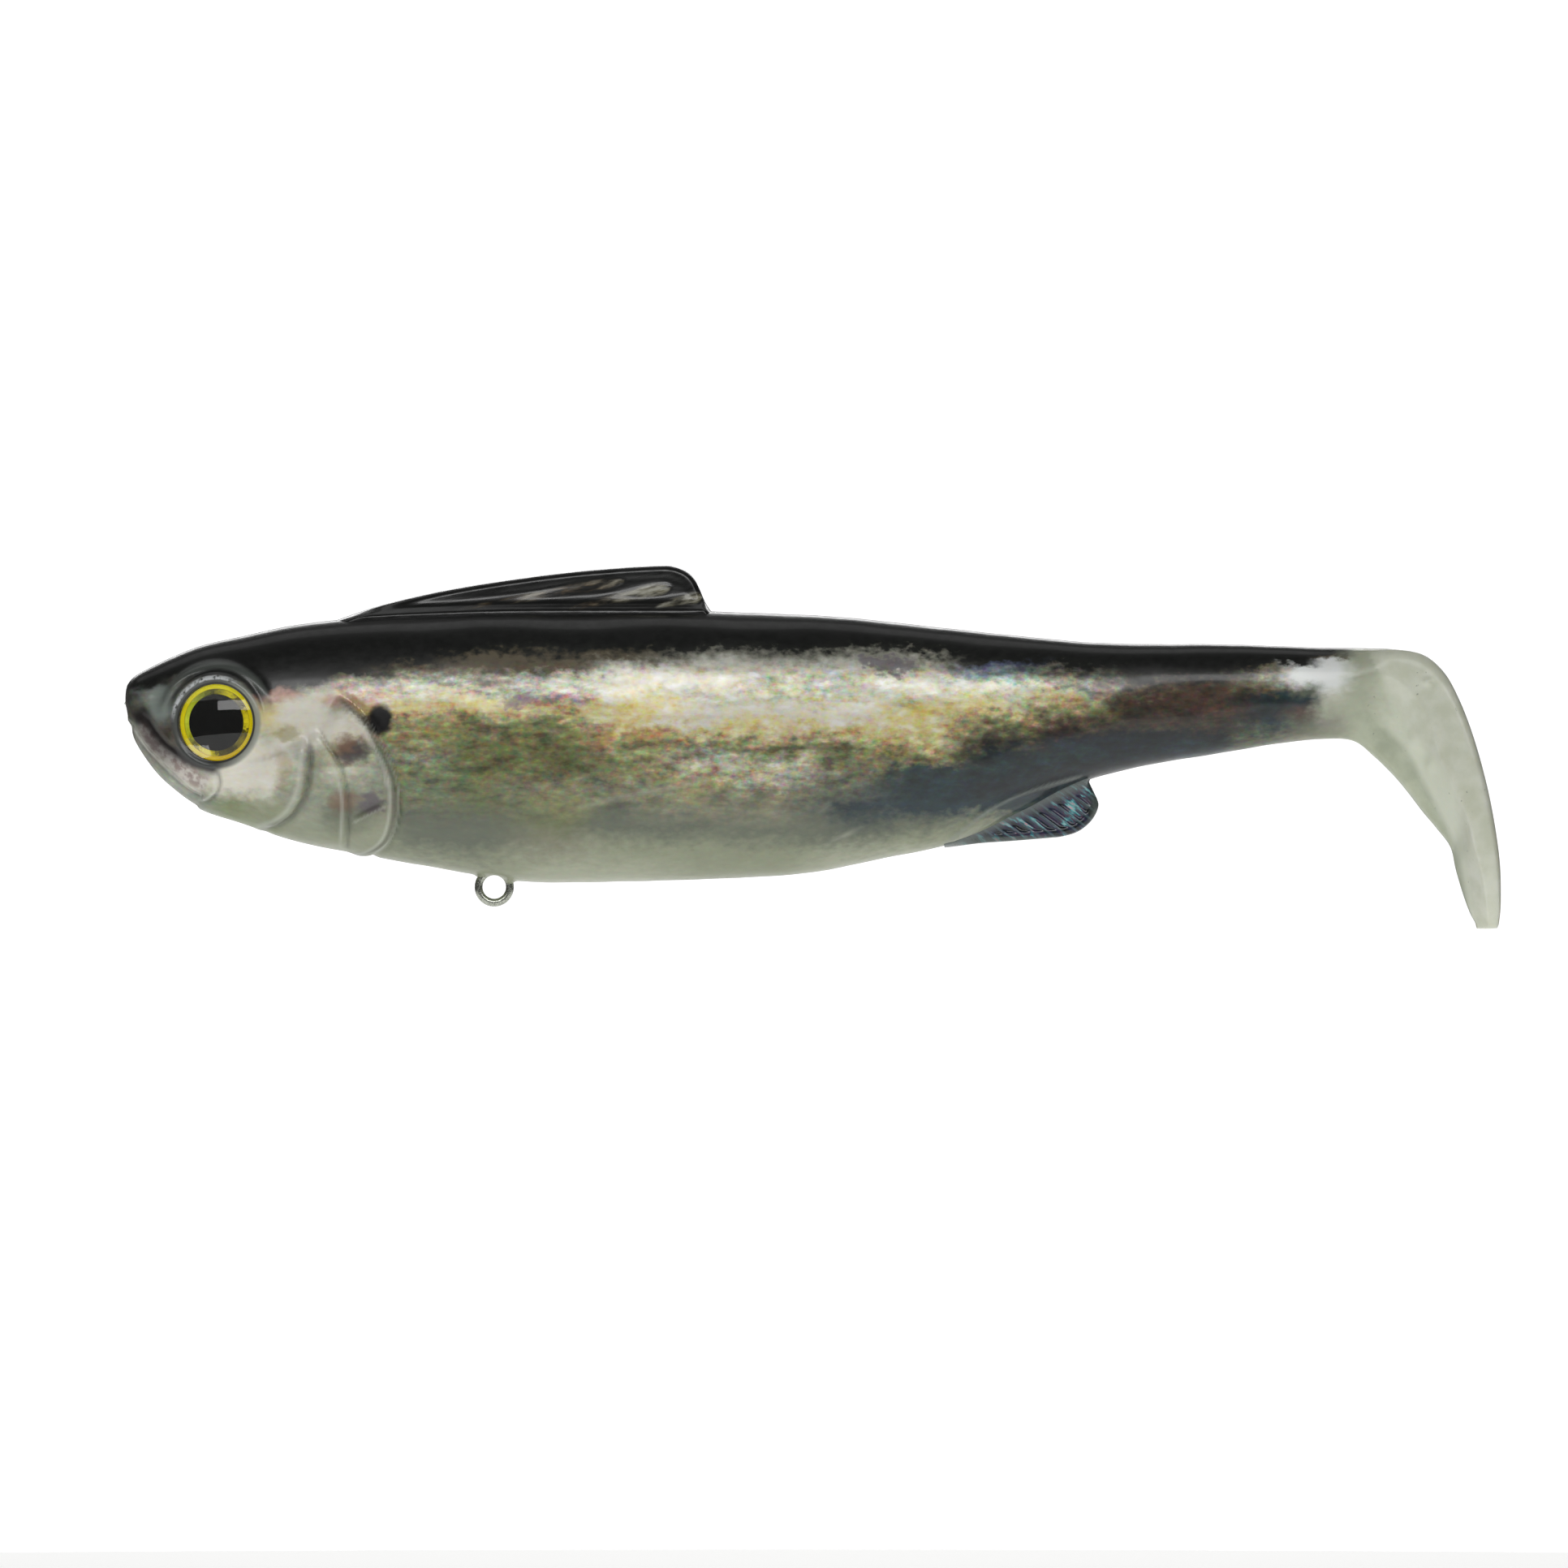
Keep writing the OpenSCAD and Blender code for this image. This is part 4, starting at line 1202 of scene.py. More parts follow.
    # Painted sheen streaks on the belly, a painted highlight on the crest of the fin's fillet, and
    # the tail's pale and green bands, painted paler on the facets that catch the light.
    colour = add(
        tree, "Mix",
        {0: add(tree, "Math", masks["fold"], 0.45, operation="MULTIPLY"), 6: colour, 7: "#c9ccbc"},
        **COLOURS,
    )
    # Painted highlight: lighter paint along the crest of the fin's fillet.
    colour = add(
        tree, "Mix",
        {0: add(tree, "Math", masks["fillet"], 0.6, operation="MULTIPLY"), 6: colour, 7: "#98a09a"},
        **COLOURS,
    )
    # Painted highlights on the tail: paler paint behind the keel crease, palest behind the rear crease, where
    # those facets catch the light.
    tail_grain = add(tree, "MapRange", noise(tree, mould, 2.2, detail=5.0), 0.3, 0.7, **EVEN)
    keel = add(tree, "Mix", {0: tail_grain, 6: "#b2baa2", 7: "#c8cfb8"}, **COLOURS)
    colour = add(
        tree, "Mix",
        {0: add(tree, "Math", masks["keel_band"], 0.85, operation="MULTIPLY"), 6: colour, 7: keel},
        **COLOURS,
    )
    rear = add(tree, "Mix", {0: tail_grain, 6: "#d6dac6", 7: "#e6e9da"}, **COLOURS)
    colour = add(
        tree, "Mix",
        {0: add(tree, "Math", masks["rear_band"], 0.9, operation="MULTIPLY"), 6: colour, 7: rear},
        **COLOURS,
    )
    dark = add(tree, "MapRange", noise(tree, mould, 0.7, detail=3.0), 0.7, 0.78, **EVEN)
    colour = add(
        tree, "Mix",
        {
            0: add(
                tree, "Math", dark, add(tree, "MapRange", true_x, 134, 138, 0, 0.6, **EVEN),
                operation="MULTIPLY",
            ),
            6: colour, 7: "#7c8676",
        },
        **COLOURS,
    )
    tree.links.new(colour, shader.inputs["Base Color"])

    # The clear tail glows from inside, and the paint covers the rest.
    clear = add(tree, "MapRange", x, 131.5, 136.5, **EVEN)
    tree.links.new(
        add(tree, "Math", clear, 0.35, 0.12, operation="MULTIPLY_ADD"),
        shader.inputs["Subsurface Weight"],
    )
    shader.inputs["Subsurface Radius"].default_value = (1.0, 0.9, 0.7)
    shader.inputs["Subsurface Scale"].default_value = 2.2 * MM
    pale = add(tree, "Math", flank, add(tree, "MapRange", true_z, -9, 1, **EVEN), operation="MULTIPLY")
    tree.links.new(add(tree, "Math", pale, 0.22, operation="MULTIPLY"), shader.inputs["Metallic"])
    grain = noise(tree, mould, 0.9, detail=4.0)
    rough = add(tree, "MapRange", grain, 0.2, 0.8, 0.3, 0.44, **EVEN)
    tree.links.new(
        add(
            tree, "Math", rough, add(tree, "MapRange", true_x, 133, 138, 1.0, 0.9, **EVEN),
            operation="MULTIPLY",
        ),
        shader.inputs["Roughness"],
    )
    shader.inputs["IOR"].default_value = 1.49
    tree.links.new(
        add(tree, "MapRange", true_x, 130, 137, 0.4, 0.06, **EVEN), shader.inputs["Coat Weight"],
    )
    shader.inputs["Coat Roughness"].default_value = 0.14
    swell = noise(tree, mould, 2.6, detail=2.0, stretch=(0.6, 1, 1))
    fine = noise(tree, mould, 0.35, detail=3.0)
    bumps = add(tree, "Bump", {"Strength": 0.35, "Distance": 0.1 * MM, "Height": swell})
    bumps = add(tree, "Bump", {"Strength": 0.2, "Distance": 0.03 * MM, "Height": fine, "Normal": bumps})
    tree.links.new(bumps, shader.inputs["Normal"])
    return material


def around_sockets(tree, mould, x, z, colour):
    """Grey brow, a painted shadow under it, the collar with a painted shade line at the socket's edge,
    and painted highlight dashes on its rim, as rings round each eye.
    """
    centre = EYES["left"][0]
    across = add(
        tree, "Math", add(tree, "Math", x, float(centre[0]), operation="SUBTRACT"), math.cos(EYE_TILT),
        operation="DIVIDE",
    )
    up_way = add(tree, "Math", z, float(centre[2]), operation="SUBTRACT")
    radius = add(
        tree, "Math",
        add(
            tree, "Math", add(tree, "Math", across, across, operation="MULTIPLY"),
            add(tree, "Math", up_way, up_way, operation="MULTIPLY"), operation="ADD",
        ),
        0.5, operation="POWER",
    )
    turn = add(tree, "Math", up_way, across, operation="ARCTAN2")
    top = add(
        tree, "Math", add(tree, "MapRange", turn, 0.1, 0.6, **EVEN),
        add(tree, "MapRange", turn, 3.1, 2.5, **EVEN), operation="MULTIPLY",
    )

    def ring(middle, half, soft):
        return add(
            tree, "MapRange",
            add(
                tree, "Math", add(tree, "Math", radius, middle, operation="SUBTRACT"),
                operation="ABSOLUTE",
            ),
            half + soft, half - soft, **EVEN,
        )

    brow = add(tree, "Math", ring(6.4, 0.45, 0.3), top, operation="MULTIPLY")
    colour = add(
        tree, "Mix",
        {0: add(tree, "Math", brow, 0.75, operation="MULTIPLY"), 6: colour, 7: "#5d635e"},
        **COLOURS,
    )
    # Painted shadow in the groove under the brow.
    orbit = add(tree, "Math", ring(5.65, 0.28, 0.22), top, operation="MULTIPLY")
    colour = add(
        tree, "Mix",
        {0: add(tree, "Math", orbit, 0.85, operation="MULTIPLY"), 6: colour, 7: "#151816"},
        **COLOURS,
    )
    colour = add(
        tree, "Mix",
        {
            0: add(tree, "Math", ring(4.72, 0.42, 0.22), 0.85, operation="MULTIPLY"),
            6: colour,
            7: add(
                tree, "Mix",
                {
                    0: add(
                        tree, "MapRange", add(tree, "Math", turn, operation="ABSOLUTE"), 1.5, 0.8,
                        **EVEN,
                    ),
                    6: "#4c504e", 7: "#999e95",
                },
                **COLOURS,
            ),
        },
        **COLOURS,
    )
    # Painted shade: a dark line where the collar meets the socket's edge.
    colour = add(
        tree, "Mix",
        {
            0: add(tree, "Math", ring(4.36, 0.14, 0.08), 0.9, operation="MULTIPLY"),
            6: colour, 7: "#1b1d1c",
        },
        **COLOURS,
    )
    # Painted highlight: pale dashes along the top of the collar's rim.
    flecks = noise(tree, mould, 0.5)
    rim = add(
        tree, "Math", ring(5.0, 0.22, 0.12),
        add(
            tree, "Math", add(tree, "MapRange", turn, 0.9, 1.5, **EVEN),
            add(tree, "MapRange", turn, 3.2, 2.7, **EVEN), operation="MULTIPLY",
        ),
        operation="MULTIPLY",
    )
    return add(
        tree, "Mix",
        {
            0: add(
                tree, "Math", rim, add(tree, "MapRange", flecks, 0.3, 0.55, **EVEN),
                operation="MULTIPLY",
            ),
            6: colour, 7: "#dfe3e4",
        },
        **COLOURS,
    )


skin_material = painted_skin()
for piece in (front_skin, rear_skin, tail_skin):
    piece.data.materials.clear()
    piece.data.materials.append(skin_material)
print(skin_material.name, "has", len(skin_material.node_tree.nodes), "nodes")

# %% [markdown]
# ## The fins
#
# Both fins are thin webs of the same soft plastic, thick at the root and rounded at the rim. A web
# is modelled as slices that stand across it: each slice goes up one face, over the rim and down
# the other. The back fin has a sunk panel with slanting streaks, and the belly fin has rays.


# %% A web of soft plastic
def web(name, root, rim, sink, half, slices=150, levels=22):
    """A closed fin between a root line and a rim curve. half(x, z) gives half its thickness."""
    rim = np.array(rim, float)
    curve = through(rim, np.linspace(0, len(rim) - 1, 40 * len(rim)))
    run = np.concatenate([[0], np.cumsum(np.hypot(*np.diff(curve, axis=0).T))])
    s = np.linspace(0, 1, slices)
    edge = np.stack([np.interp(s * run[-1], run, curve[:, k]) for k in (0, 1)], axis=1)
    start, end = np.array(root[0], float), np.array(root[1], float)
    way = end - start
    t = ((edge - start) @ way) / (way @ way)
    t = np.maximum.accumulate(np.clip(t, 0, 1))
    t = (0.9 * (t - t[0]) / (t[-1] - t[0]) + 0.1 * s)
    foot = start + t[:, None] * way + sink
    v = np.linspace(0, 1, levels) ** 0.8
    flat = foot[:, None] + v[None, :, None] * (edge - foot)[:, None]
    y = half(flat[..., 0], flat[..., 1])
    y[:, -1] = 0
    left = np.stack([flat[..., 0], -y, flat[..., 1]], axis=-1)
    right = left[:, -2::-1] * (1, -1, 1)
    return piece_from_rings(name, np.concatenate([left, right], axis=1))


def rounded(distance, radius):
    """Rises from 0 at a rim to 1 at the radius, as a quarter circle does."""
    u = np.clip(distance / radius, 0, 1)
    return np.sqrt(np.maximum(1 - (1 - u) ** 2, 0))


def off_curve(x, z, points):
    return np.abs(distance_to(x, z, points)[0])


print("web helper ready")

# %% [markdown]
# The back fin rises slowly from behind the head and drops steeply over its rear edge.

# %% Back fin
BACK_RIM = [
    (22.9, 8.2), (25.5, 9.15), (28.5, 10.1), (33.9, 11.4), (39.3, 12.4), (44.7, 13.2), (50.1, 13.85),
    (55.5, 14.3), (59.5, 14.5), (60.9, 14.4), (62.2, 13.9), (63.1, 13.1), (63.7, 12.0), (64.3, 10.6),
    (64.9, 9.6), (65.4, 9.1),
]
BACK_ROOT = [(22.9, float(back_at(22.9)[0])), (65.4, float(back_at(65.4)[0]))]


STROKES = [
    ((37.5, 9.75), (55.4, 12.75), 0.85), ((49.4, 9.75), (60.6, 12.2), 1.0),
    ((58.6, 9.95), (64.0, 11.1), 0.85),
]


def strokes(x, z):
    """Leaf shapes on the panel, narrow in front and round behind, as height from 0 to 1."""
    height = np.zeros(x.shape)
    for (ax, az), (bx, bz), wide in STROKES:
        length = math.hypot(bx - ax, bz - az)
        ux, uz = (bx - ax) / length, (bz - az) / length
        u = ((x - ax) * ux + (z - az) * uz) / length
        side = np.abs((z - az) * ux - (x - ax) * uz)
        leaf = wide * (0.12 + 0.88 * np.clip(u, 0, 1) ** 0.7) * rounded(1.0 - u, 0.22) * rounded(u, 0.08)
        height = np.maximum(height, smooth(1.3, 0.2, side / np.maximum(leaf, 1e-3)) * (leaf > 0.02))
    return height


def back_fin_half(x, z):
    """Half thickness of the back fin: root fillet, web, sunk panel with streaks, round rim."""
    to_rim = off_curve(x, z, BACK_RIM)
    over_back = np.maximum(z - back_at(x.ravel()).reshape(x.shape), 0)
    web_half = 0.62 + 0.30 * np.exp(-over_back / 2.5) + 1.1 * np.exp(-((over_back / 0.7) ** 2))
    panel = smooth(0.6, 1.8, to_rim) * smooth(0.8, 2.2, over_back) * smooth(32, 42, x)
    return rounded(to_rim, 0.7) * (web_half + panel * (0.10 * strokes(x, z) - 0.16))


back_fin = web("back_fin", BACK_ROOT, BACK_RIM, (0, -0.6), back_fin_half, slices=190, levels=30)
print("back fin stands", round(max(v.co.z for v in back_fin.data.vertices) / MM, 2), "mm up")

# %% Belly fin
BELLY_RIM = [
    (90.9, -16.75), (92.2, -16.6), (95.0, -16.25), (98.6, -16.0), (102.2, -15.7), (104.0, -15.5),
    (105.8, -14.9), (107.2, -13.7), (107.9, -12.3), (107.8, -11.4), (107.3, -10.5), (106.9, -9.6),
    (107.2, -8.8),
]
BELLY_ROOT = [(90.9, -16.3), (107.2, -8.7)]
RAY_SLOPE = math.radians(36)
RAY_SPACING = 0.98


def belly_fin_half(x, z):
    """Half thickness of the belly fin: root fillet, thin web, rays that slant down to the rear."""
    to_rim = off_curve(x, z, BELLY_RIM)
    to_root = off_curve(x, z, BELLY_ROOT)
    panel = smooth(0.75, 1.1, to_rim) * smooth(0.9, 1.5, to_root)
    across = x * math.sin(RAY_SLOPE) + z * math.cos(RAY_SLOPE)
    rays = np.abs(np.cos(across * math.pi / RAY_SPACING)) ** 3
    web_half = 0.50 + 1.0 * np.exp(-((to_root / 0.8) ** 2)) + panel * (0.16 * rays - 0.18)
    return rounded(to_rim, 0.55) * web_half


belly_fin = web("belly_fin", BELLY_ROOT, BELLY_RIM, (-0.25, 0.7), belly_fin_half, slices=170, levels=40)
for piece in (back_fin, belly_fin):
    crisp_edges(piece.data)
remember_mould(back_fin, {"strokes": strokes})
remember_mould(belly_fin)
print("belly fin reaches down to", round(min(v.co.z for v in belly_fin.data.vertices) / MM, 2), "mm")

# %% [markdown]
# The fins' paint is sprayed more thinly, and rubs off along the slanting streaks of the back fin,
# where brown and silver show. The belly fin is dark blue with glints, and clear at its rim.


# %% Fin materials
def fin_base(name):
    """A material for a fin, with its mould coordinates."""
    material, tree, shader = new_material(name)
    mould = add(tree, "Attribute", out=1, attribute_name="mould")
    x = add(tree, "SeparateXYZ", mould)
    shader.inputs["IOR"].default_value = 1.49
    shader.inputs["Coat Weight"].default_value = 0.5
    shader.inputs["Coat Roughness"].default_value = 0.12
    shader.inputs["Subsurface Radius"].default_value = (1.0, 0.9, 0.7)
    shader.inputs["Subsurface Scale"].default_value = 1.2 * MM
    return material, tree, shader, mould, x, x.node.outputs[2]


def turned(tree, x, z, degrees):
    """Coordinates along and across a slanting direction."""
    c, s = math.cos(math.radians(degrees)), math.sin(math.radians(degrees))
    along = add(
        tree, "Math", add(tree, "Math", x, c, operation="MULTIPLY"),
        add(tree, "Math", z, s, operation="MULTIPLY"), operation="ADD",
    )
    across = add(
        tree, "Math", add(tree, "Math", x, -s, operation="MULTIPLY"),
        add(tree, "Math", z, c, operation="MULTIPLY"), operation="ADD",
    )
    return add(tree, "CombineXYZ", along, across)


def back_fin_material():
    """Black sprayed plastisol, rubbed to brown and silver along its streaks."""
    material, tree, shader, mould, x, z = fin_base("black sprayed plastisol")
    slanted = turned(tree, x, z, 12)
    broad = noise(tree, slanted, 1.3, detail=4.0, stretch=(0.35, 1, 1))
    thin = noise(tree, slanted, 0.45, detail=5.0, stretch=(0.2, 1, 1))
    rubbed = add(tree, "Attribute", out=2, attribute_name="strokes")
    brown = add(
        tree, "ValToRGB", thin,
        stops=[(0.36, "#14110c"), (0.5, "#3a2f20"), (0.6, "#6a5636"), (0.7, "#8a7a58")],
    )
    silver = add(
        tree, "ValToRGB", thin,
        stops=[(0.34, "#3d3829"), (0.46, "#8a8670"), (0.56, "#b9b7a6"), (0.7, "#dcdcd4")],
    )
    worn = add(
        tree, "Math", add(tree, "MapRange", x, 50, 60, **EVEN),
        add(
            tree, "Math", add(tree, "Math", broad, 0.5, operation="SUBTRACT"), 2.4,
            operation="MULTIPLY",
        ),
        operation="ADD", use_clamp=True,
    )
    shade = add(tree, "Mix", {0: worn, 6: brown, 7: silver}, **COLOURS)
    rubbed = add(
        tree, "Math", add(tree, "MapRange", rubbed, 0.05, 0.85, **EVEN),
        add(tree, "MapRange", broad, 0.4, 0.56, **EVEN), operation="MULTIPLY",
    )
    share = add(
        tree, "Math", rubbed, add(tree, "MapRange", x, 37, 46, 0.4, 0.9, **EVEN), operation="MULTIPLY",
    )
    colour = add(tree, "Mix", {0: share, 6: "#070907", 7: shade}, **COLOURS)
    tree.links.new(colour, shader.inputs["Base Color"])
    tree.links.new(
        add(tree, "MapRange", thin, 0.2, 0.8, 0.24, 0.42, **EVEN), shader.inputs["Roughness"],
    )
    shader.inputs["Subsurface Weight"].default_value = 0.03
    bump = add(tree, "Bump", {"Strength": 0.4, "Distance": 0.08 * MM, "Height": thin})
    tree.links.new(bump, shader.inputs["Normal"])
    return material


def belly_fin_material():
    """Thin dark plastisol with blue glints between its rays and a clear grey rim."""
    material, tree, shader, mould, x, z = fin_base("blue sprayed plastisol")
    slanted = turned(tree, x, z, -36)
    glint = noise(tree, slanted, 0.7, detail=3.0, stretch=(0.3, 1, 1))
    shade = add(
        tree, "ValToRGB", glint,
        stops=[
            (0.36, "#05080e"), (0.45, "#0c1e28"), (0.51, "#1c2248"), (0.55, "#44203c"),
            (0.59, "#2a7684"), (0.63, "#78c4c4"), (0.69, "#e2a4b0"),
        ],
    )
    across = add(
        tree, "Math", add(tree, "Math", x, math.sin(RAY_SLOPE), operation="MULTIPLY"),
        add(tree, "Math", z, math.cos(RAY_SLOPE), operation="MULTIPLY"), operation="ADD",
    )
    rays = add(
        tree, "Math",
        add(
            tree, "Math",
            add(tree, "Math", across, math.pi / RAY_SPACING, operation="MULTIPLY"),
            operation="COSINE",
        ),
        operation="ABSOLUTE",
    )
    # Painted highlight: paler paint along the raised ray crests.
    shade = add(
        tree, "Mix",
        {0: add(tree, "MapRange", rays, 0.86, 1.0, 0, 0.35, **EVEN), 6: shade, 7: "#6f9094"},
        **COLOURS,
    )
    # The rim stays clear: it lies outside the panel, below and behind.
    behind = add(tree, "MapRange", x, 106.6, 107.5, **EVEN)
    below = add(tree, "MapRange", z, -15.2, -15.8, **EVEN)
    rim = add(tree, "Math", behind, below, operation="MAXIMUM")
    root_height = add(
        tree, "Math", z, add(tree, "Math", x, 0.466, -58.7, operation="MULTIPLY_ADD"),
        operation="SUBTRACT",
    )
    root = add(tree, "MapRange", root_height, -1.5, -0.3, **EVEN)
    shade = add(
        tree, "Mix",
        {0: add(tree, "Math", rim, 0.75, operation="MULTIPLY"), 6: shade, 7: "#545f58"},
        **COLOURS,
    )
    shade = add(
        tree, "Mix",
        {0: add(tree, "Math", root, 0.8, operation="MULTIPLY"), 6: shade, 7: "#626c68"},
        **COLOURS,
    )
    tree.links.new(shade, shader.inputs["Base Color"])
    tree.links.new(
        add(tree, "MapRange", glint, 0.2, 0.8, 0.22, 0.4, **EVEN), shader.inputs["Roughness"],
    )
    shader.inputs["Subsurface Weight"].default_value = 0.15
    bump = add(tree, "Bump", {"Strength": 0.3, "Distance": 0.06 * MM, "Height": glint})
    tree.links.new(bump, shader.inputs["Normal"])
    return material


back_fin.data.materials.append(back_fin_material())
belly_fin.data.materials.append(belly_fin_material())
print("fins:", back_fin.data.materials[0].name, "and", belly_fin.data.materials[0].name)

# %% [markdown]
# ## The eyes
#
# A printed foil disc lies on a foam pad in each socket, with a black pupil on it and a clear domed
# lens glued over both. The foil is stamped with slanting facets, which flash yellow or go dark as
# the light turns. The facets are modelled, and their flashes are painted on as well, as patches of
# painted highlight and painted shade round the facet ring.

# %% Foil discs
FOIL_FLOOR, FOIL_TOP = 0.31, 0.54  # over the socket's floor, between the pad and the dome
FOIL_RINGS = [
    (0.05, 0.0), (4.12, 0.0), (4.16, 0.35), (4.02, 0.85), (3.66, 1.0), (3.58, 0.3), (3.5, 0.35),
    (3.04, 0.7), (2.95, 0.5), (0.05, 0.5),
]
FACETS = 34


def foil_disc(side):
    """A disc in the eye's plane, with facets round its inner ring and a plain outer band."""
    centre, outward_way, rearward = EYES[side]
    around = FACETS * 4
    turns = np.linspace(0, 2 * math.pi, around, endpoint=False)
    saw = (np.arange(around) % 4) / 3.0
    flip = np.where((np.arange(around) // 4) % 3 == 0, 1 - saw, saw)
    rings, dial = [], []
    for radius, share in FOIL_RINGS:
        lifted = share + (0.28 * (flip - 0.5) if 3.0 < radius < 3.55 else 0.0)
        height = FOIL_FLOOR + (FOIL_TOP - FOIL_FLOOR) * np.clip(lifted, 0, 1) - SOCKET_DEPTH
        flat = np.outer(np.cos(turns) * radius, rearward) + np.outer(np.sin(turns) * radius, (0, 0, 1))
        rings.append(centre + flat + np.outer(height * np.ones(around), outward_way))
        dial.append(np.stack([np.cos(turns) * radius, np.sin(turns) * radius, 0 * turns], axis=1))
    disc = piece_from_rings("eye_foil_disc_" + side, rings)
    dial = np.concatenate([*dial, np.zeros((2, 3))]).astype(np.float32)
    disc.data.attributes.new("dial", "FLOAT_VECTOR", "POINT").data.foreach_set("vector", dial.ravel())
    crisp_edges(disc.data, math.radians(12))
    return disc


foils = {side: foil_disc(side) for side in SIDES}
print("foil discs:", [o.name for o in foils.values()])


# %% Foil material
def foil_material():
    """Printed yellow foil, with patches of painted highlight and painted shade round the facet ring,
    where the facets flash or go dark, and a faint painted glow.
    """
    material, tree, shader = new_material("printed yellow foil")
    dial = add(tree, "Attribute", out=1, attribute_name="dial")
    u = add(tree, "SeparateXYZ", dial)
    v = u.node.outputs[1]
    radius = add(tree, "VectorMath", dial, out=1, operation="LENGTH")
    turn = add(
        tree, "Math", add(tree, "Math", v, u, operation="ARCTAN2"), 2 * math.pi, operation="DIVIDE",
    )
    turn = add(tree, "Math", add(tree, "Math", turn, 1.0, operation="ADD"), operation="FRACT")
    grain = noise(tree, dial, 0.28, detail=3.0)
    wobble = add(
        tree, "Math", turn,
        add(
            tree, "Math", add(tree, "Math", grain, 0.5, operation="SUBTRACT"), 0.1,
            operation="MULTIPLY",
        ),
        operation="ADD",
    )
    # Painted highlights and painted shade: bright and dark patches by angle round the facet ring.
    inner = add(
        tree, "ValToRGB", wobble,
        stops=[
            (0.0, "#f3e21c"), (0.05, "#d8c614"), (0.09, "#4c4404"), (0.14, "#6c6108"),
            (0.18, "#e9dc12"), (0.23, "#a39c12"), (0.27, "#4a4706"), (0.32, "#7d8412"),
            (0.4, "#b9c425"), (0.48, "#d2dc3c"), (0.56, "#c2c81e"), (0.62, "#615a06"),
            (0.67, "#e8da10"), (0.71, "#efe31a"), (0.76, "#5c5404"), (0.84, "#3f3a04"),
            (0.9, "#8c7f08"), (0.95, "#3b3603"), (0.98, "#e0d018"),
        ],
    )
    outer = add(
        tree, "ValToRGB", wobble,
        stops=[
            (0.0, "#f2dc00"), (0.2, "#f6ec00"), (0.35, "#f0e400"), (0.6, "#f4e000"), (0.8, "#eec800"),
            (1.0, "#f2dc00"),
        ],
    )
    colour = add(
        tree, "Mix",
        {0: add(tree, "MapRange", radius, 3.52, 3.62, **EVEN), 6: inner, 7: outer},
        **COLOURS,
    )
    edge = add(
        tree, "MapRange",
        add(tree, "Math", add(tree, "Math", radius, 3.56, operation="SUBTRACT"), operation="ABSOLUTE"),
        0.1, 0.03, **EVEN,
    )
    colour = add(
        tree, "Mix",
        {0: add(tree, "Math", edge, 0.35, operation="MULTIPLY"), 6: colour, 7: "#5c4c00"},
        **COLOURS,
    )
    colour = add(
        tree, "Mix",
        {0: add(tree, "MapRange", radius, 4.1, 4.16, **EVEN), 6: colour, 7: "#6a5a10"},
        **COLOURS,
    )
    tree.links.new(colour, shader.inputs["Base Color"])
    shader.inputs["Metallic"].default_value = 0.12
    shader.inputs["Specular IOR Level"].default_value = 0.15
    tree.links.new(colour, shader.inputs["Emission Color"])
    shader.inputs["Emission Strength"].default_value = 0.34  # painted glow: the foil gives off a little light of its own
    tree.links.new(
        add(tree, "MapRange", grain, 0.2, 0.8, 0.25, 0.45, **EVEN), shader.inputs["Roughness"],
    )
    return material


foil = foil_material()
for disc in foils.values():
    disc.data.materials.append(foil)
print(foil.name, "on", len(foils), "discs")

# %% [markdown]
# ## The hard parts
#
# The frame's own domes, pupils, pads, tube, weight and wire have the right shapes already, so they
# keep them and only get their finishes. Most are hidden, but they show in a section or a cutaway.


# %% Hard materials
def object_noise(tree, size, detail=2.0, out=0, stretch=(1, 1, 1)):
    """Noise on a part that never bends, about this many millimetres across."""
    place = add(tree, "TexCoord", out=3)
    scaled = add(tree, "VectorMath", place, [s / MM for s in stretch], operation="MULTIPLY")
    return add(tree, "TexNoise", {"Vector": scaled, "Scale": 1 / size, "Detail": detail}, out=out)


def hard(name, dark, light, size, rough, metal=0.0, bump=0.0, stretch=(1, 1, 1), **sockets):
    """A material that varies between two colours and two roughnesses with a pattern of a real size."""
    material, tree, shader = new_material(name)
    pattern = object_noise(tree, size, 4.0, stretch=stretch)
    tree.links.new(
        add(
            tree, "Mix",
            {0: add(tree, "MapRange", pattern, 0.3, 0.7, **EVEN), 6: linear(dark), 7: linear(light)},
            **COLOURS,
        ),
        shader.inputs["Base Color"],
    )
    tree.links.new(add(tree, "MapRange", pattern, 0.2, 0.8, *rough, **EVEN), shader.inputs["Roughness"])
    shader.inputs["Metallic"].default_value = metal
    for key, value in sockets.items():
        shader.inputs[key.replace("_", " ")].default_value = value
    if bump:
        height = add(tree, "Bump", {"Strength": 0.5, "Distance": bump * MM, "Height": pattern})
        tree.links.new(height, shader.inputs["Normal"])
    return material


# Drawn stainless wire: fine lines from the die, and a soft shine.
stainless = hard("drawn stainless steel", "#8d9086", "#d5d9cc", 0.12, (0.16, 0.34), metal=1.0, bump=0.01)
# Lead cast in a small mould: dull grey, with a slightly orange-peel skin.
lead = hard("cast lead", "#54575a", "#74777a", 0.8, (0.45, 0.7), metal=0.9, bump=0.08)
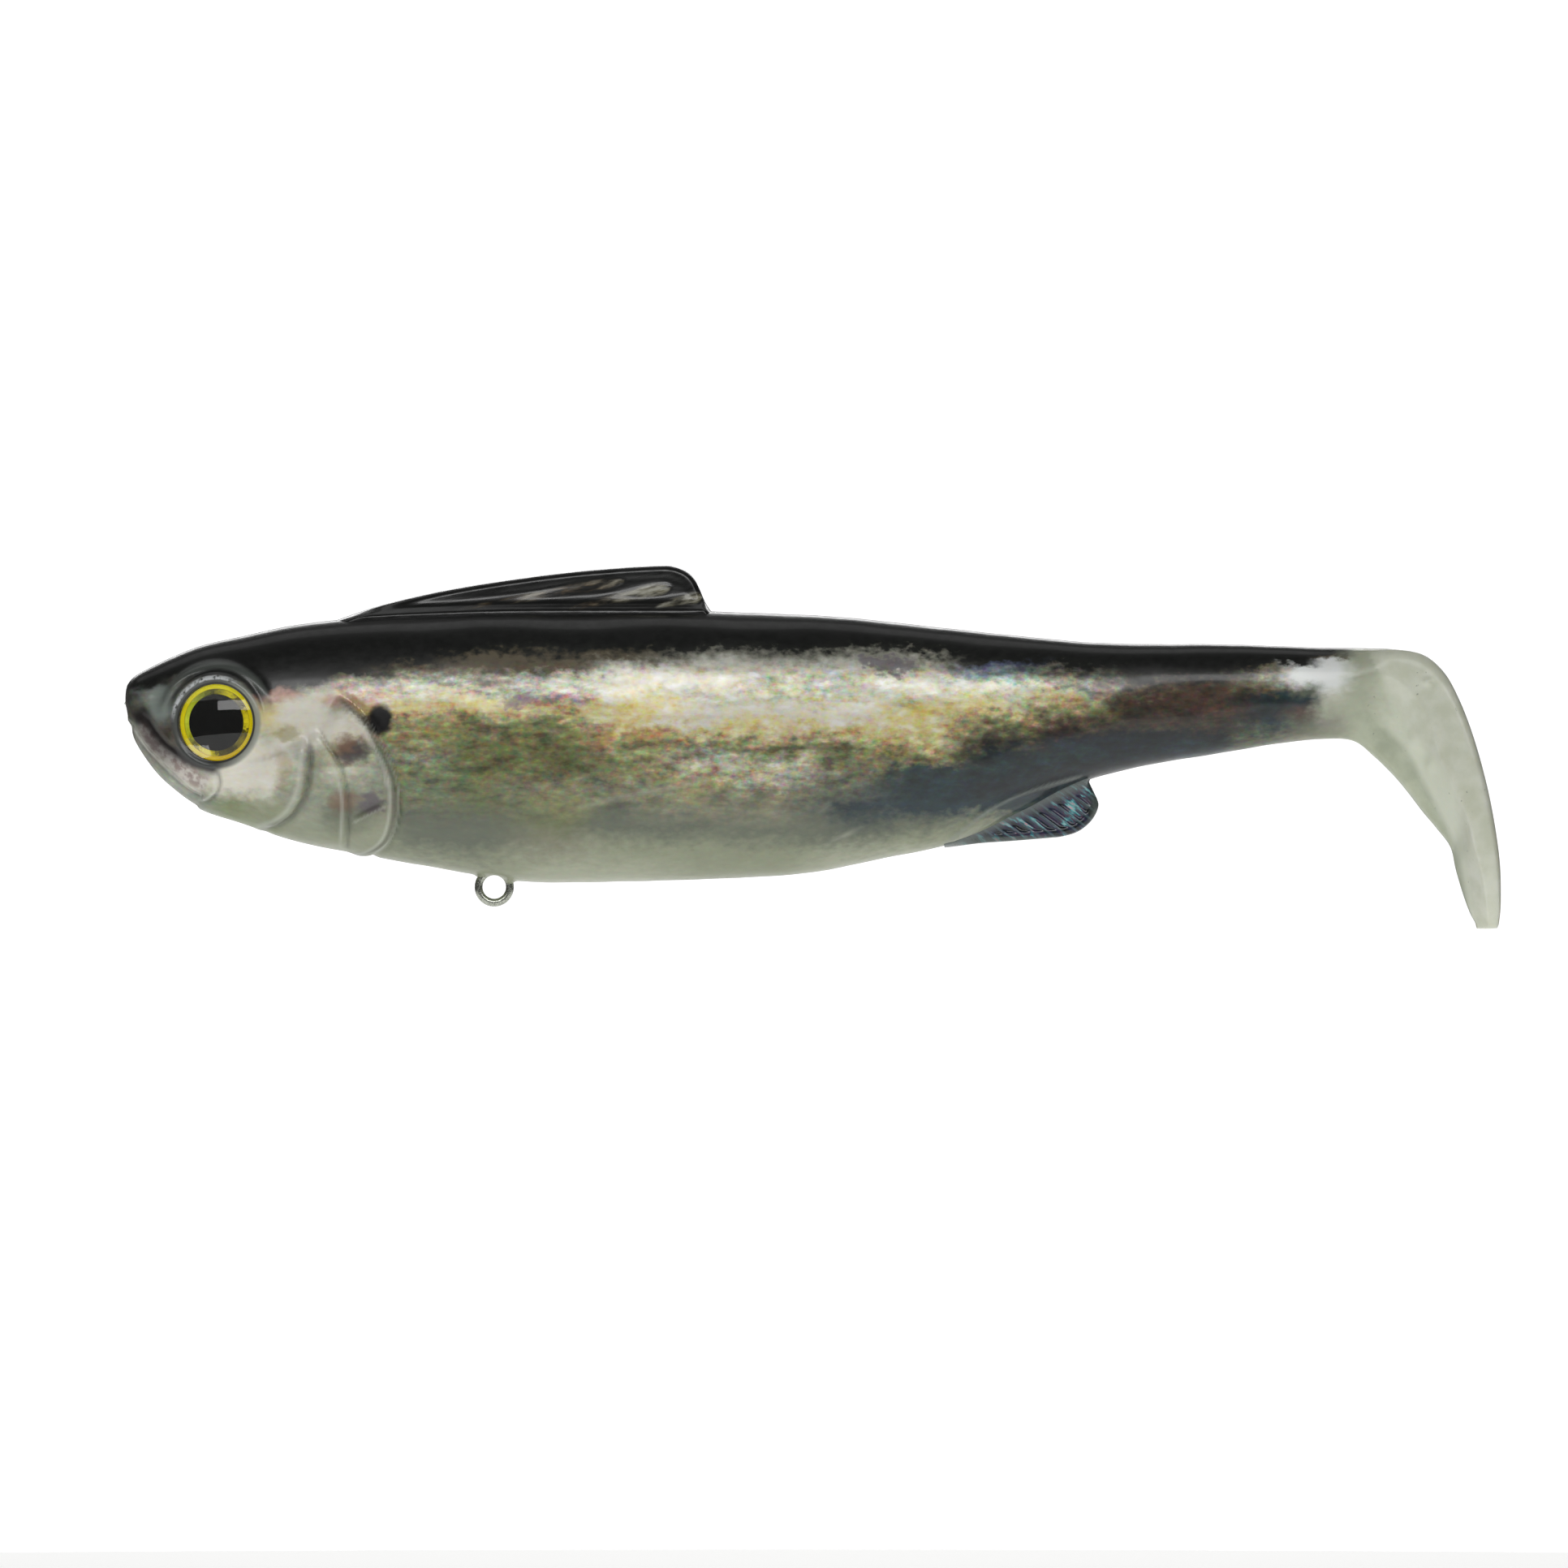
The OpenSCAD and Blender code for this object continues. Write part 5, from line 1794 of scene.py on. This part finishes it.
# Extruded nylon tube: milky, with faint draw marks along it.
nylon = hard(
    "extruded nylon", "#c9c9bf", "#dedfd6", 1.6, (0.3, 0.45), bump=0.02, Subsurface_Weight=0.3,
    Subsurface_Scale=1.5 * MM,
)
# Foam tape: white, open and matt.
foam = hard("closed cell foam tape", "#cfcfca", "#ecece8", 0.25, (0.8, 0.95), bump=0.06)
# Gloss black ink printed on the foil.
ink = hard("gloss black ink", "#040504", "#0b0d0b", 0.6, (0.35, 0.5), Specular_IOR_Level=0.08)
# Cast clear resin: it bends what lies under it and has a hard, bright gloss.
resin = hard(
    "cast clear resin", "#f6f6f2", "#ffffff", 3.0, (0.015, 0.04), Transmission_Weight=1.0, IOR=1.5,
    Specular_IOR_Level=0.3,
)
FINISHES = {
    "hanger_wire": stainless, "ballast_weight": lead, "line_tube": nylon,
    "eye_pad_left": foam, "eye_pad_right": foam, "eye_pupil_left": ink, "eye_pupil_right": ink,
    "eye_dome_left": resin, "eye_dome_right": resin,
}
for node, finish in FINISHES.items():
    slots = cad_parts[node].material_slots
    for one in slots:
        one.material = finish
print("finished", len(FINISHES), "hard parts")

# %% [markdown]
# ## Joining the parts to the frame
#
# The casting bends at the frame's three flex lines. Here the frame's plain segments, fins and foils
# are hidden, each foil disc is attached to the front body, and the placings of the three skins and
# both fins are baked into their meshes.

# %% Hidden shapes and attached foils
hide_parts("body_front")
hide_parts("rear_body")
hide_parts("tail_stock", "boot_tail")
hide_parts("dorsal_fin")
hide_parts("anal_fin")
for side, disc in foils.items():
    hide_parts("eye_foil_" + side)
    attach(disc, "front")

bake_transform(front_skin)
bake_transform(rear_skin)
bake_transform(tail_skin)

for piece, parent, child, joint, up_way in (
    (back_fin, "front", "back_fin", "back_fin_fold", 1),
    (belly_fin, "rear", "belly_fin", "belly_fin_fold", -1),
):
    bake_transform(piece)

# %% [markdown]
# The last step prints how far each corner of the box round the frame and round the finished bait
# moved; the two should agree to within a few hundredths.

# %% Sizes and finish
new_low, new_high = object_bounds()
for corner, old, new in (("low", cad_low, new_low), ("high", cad_high, new_high)):
    print(corner, "corner moved, in mm:", [round((b - a) / MM, 2) for a, b in zip(old, new)])
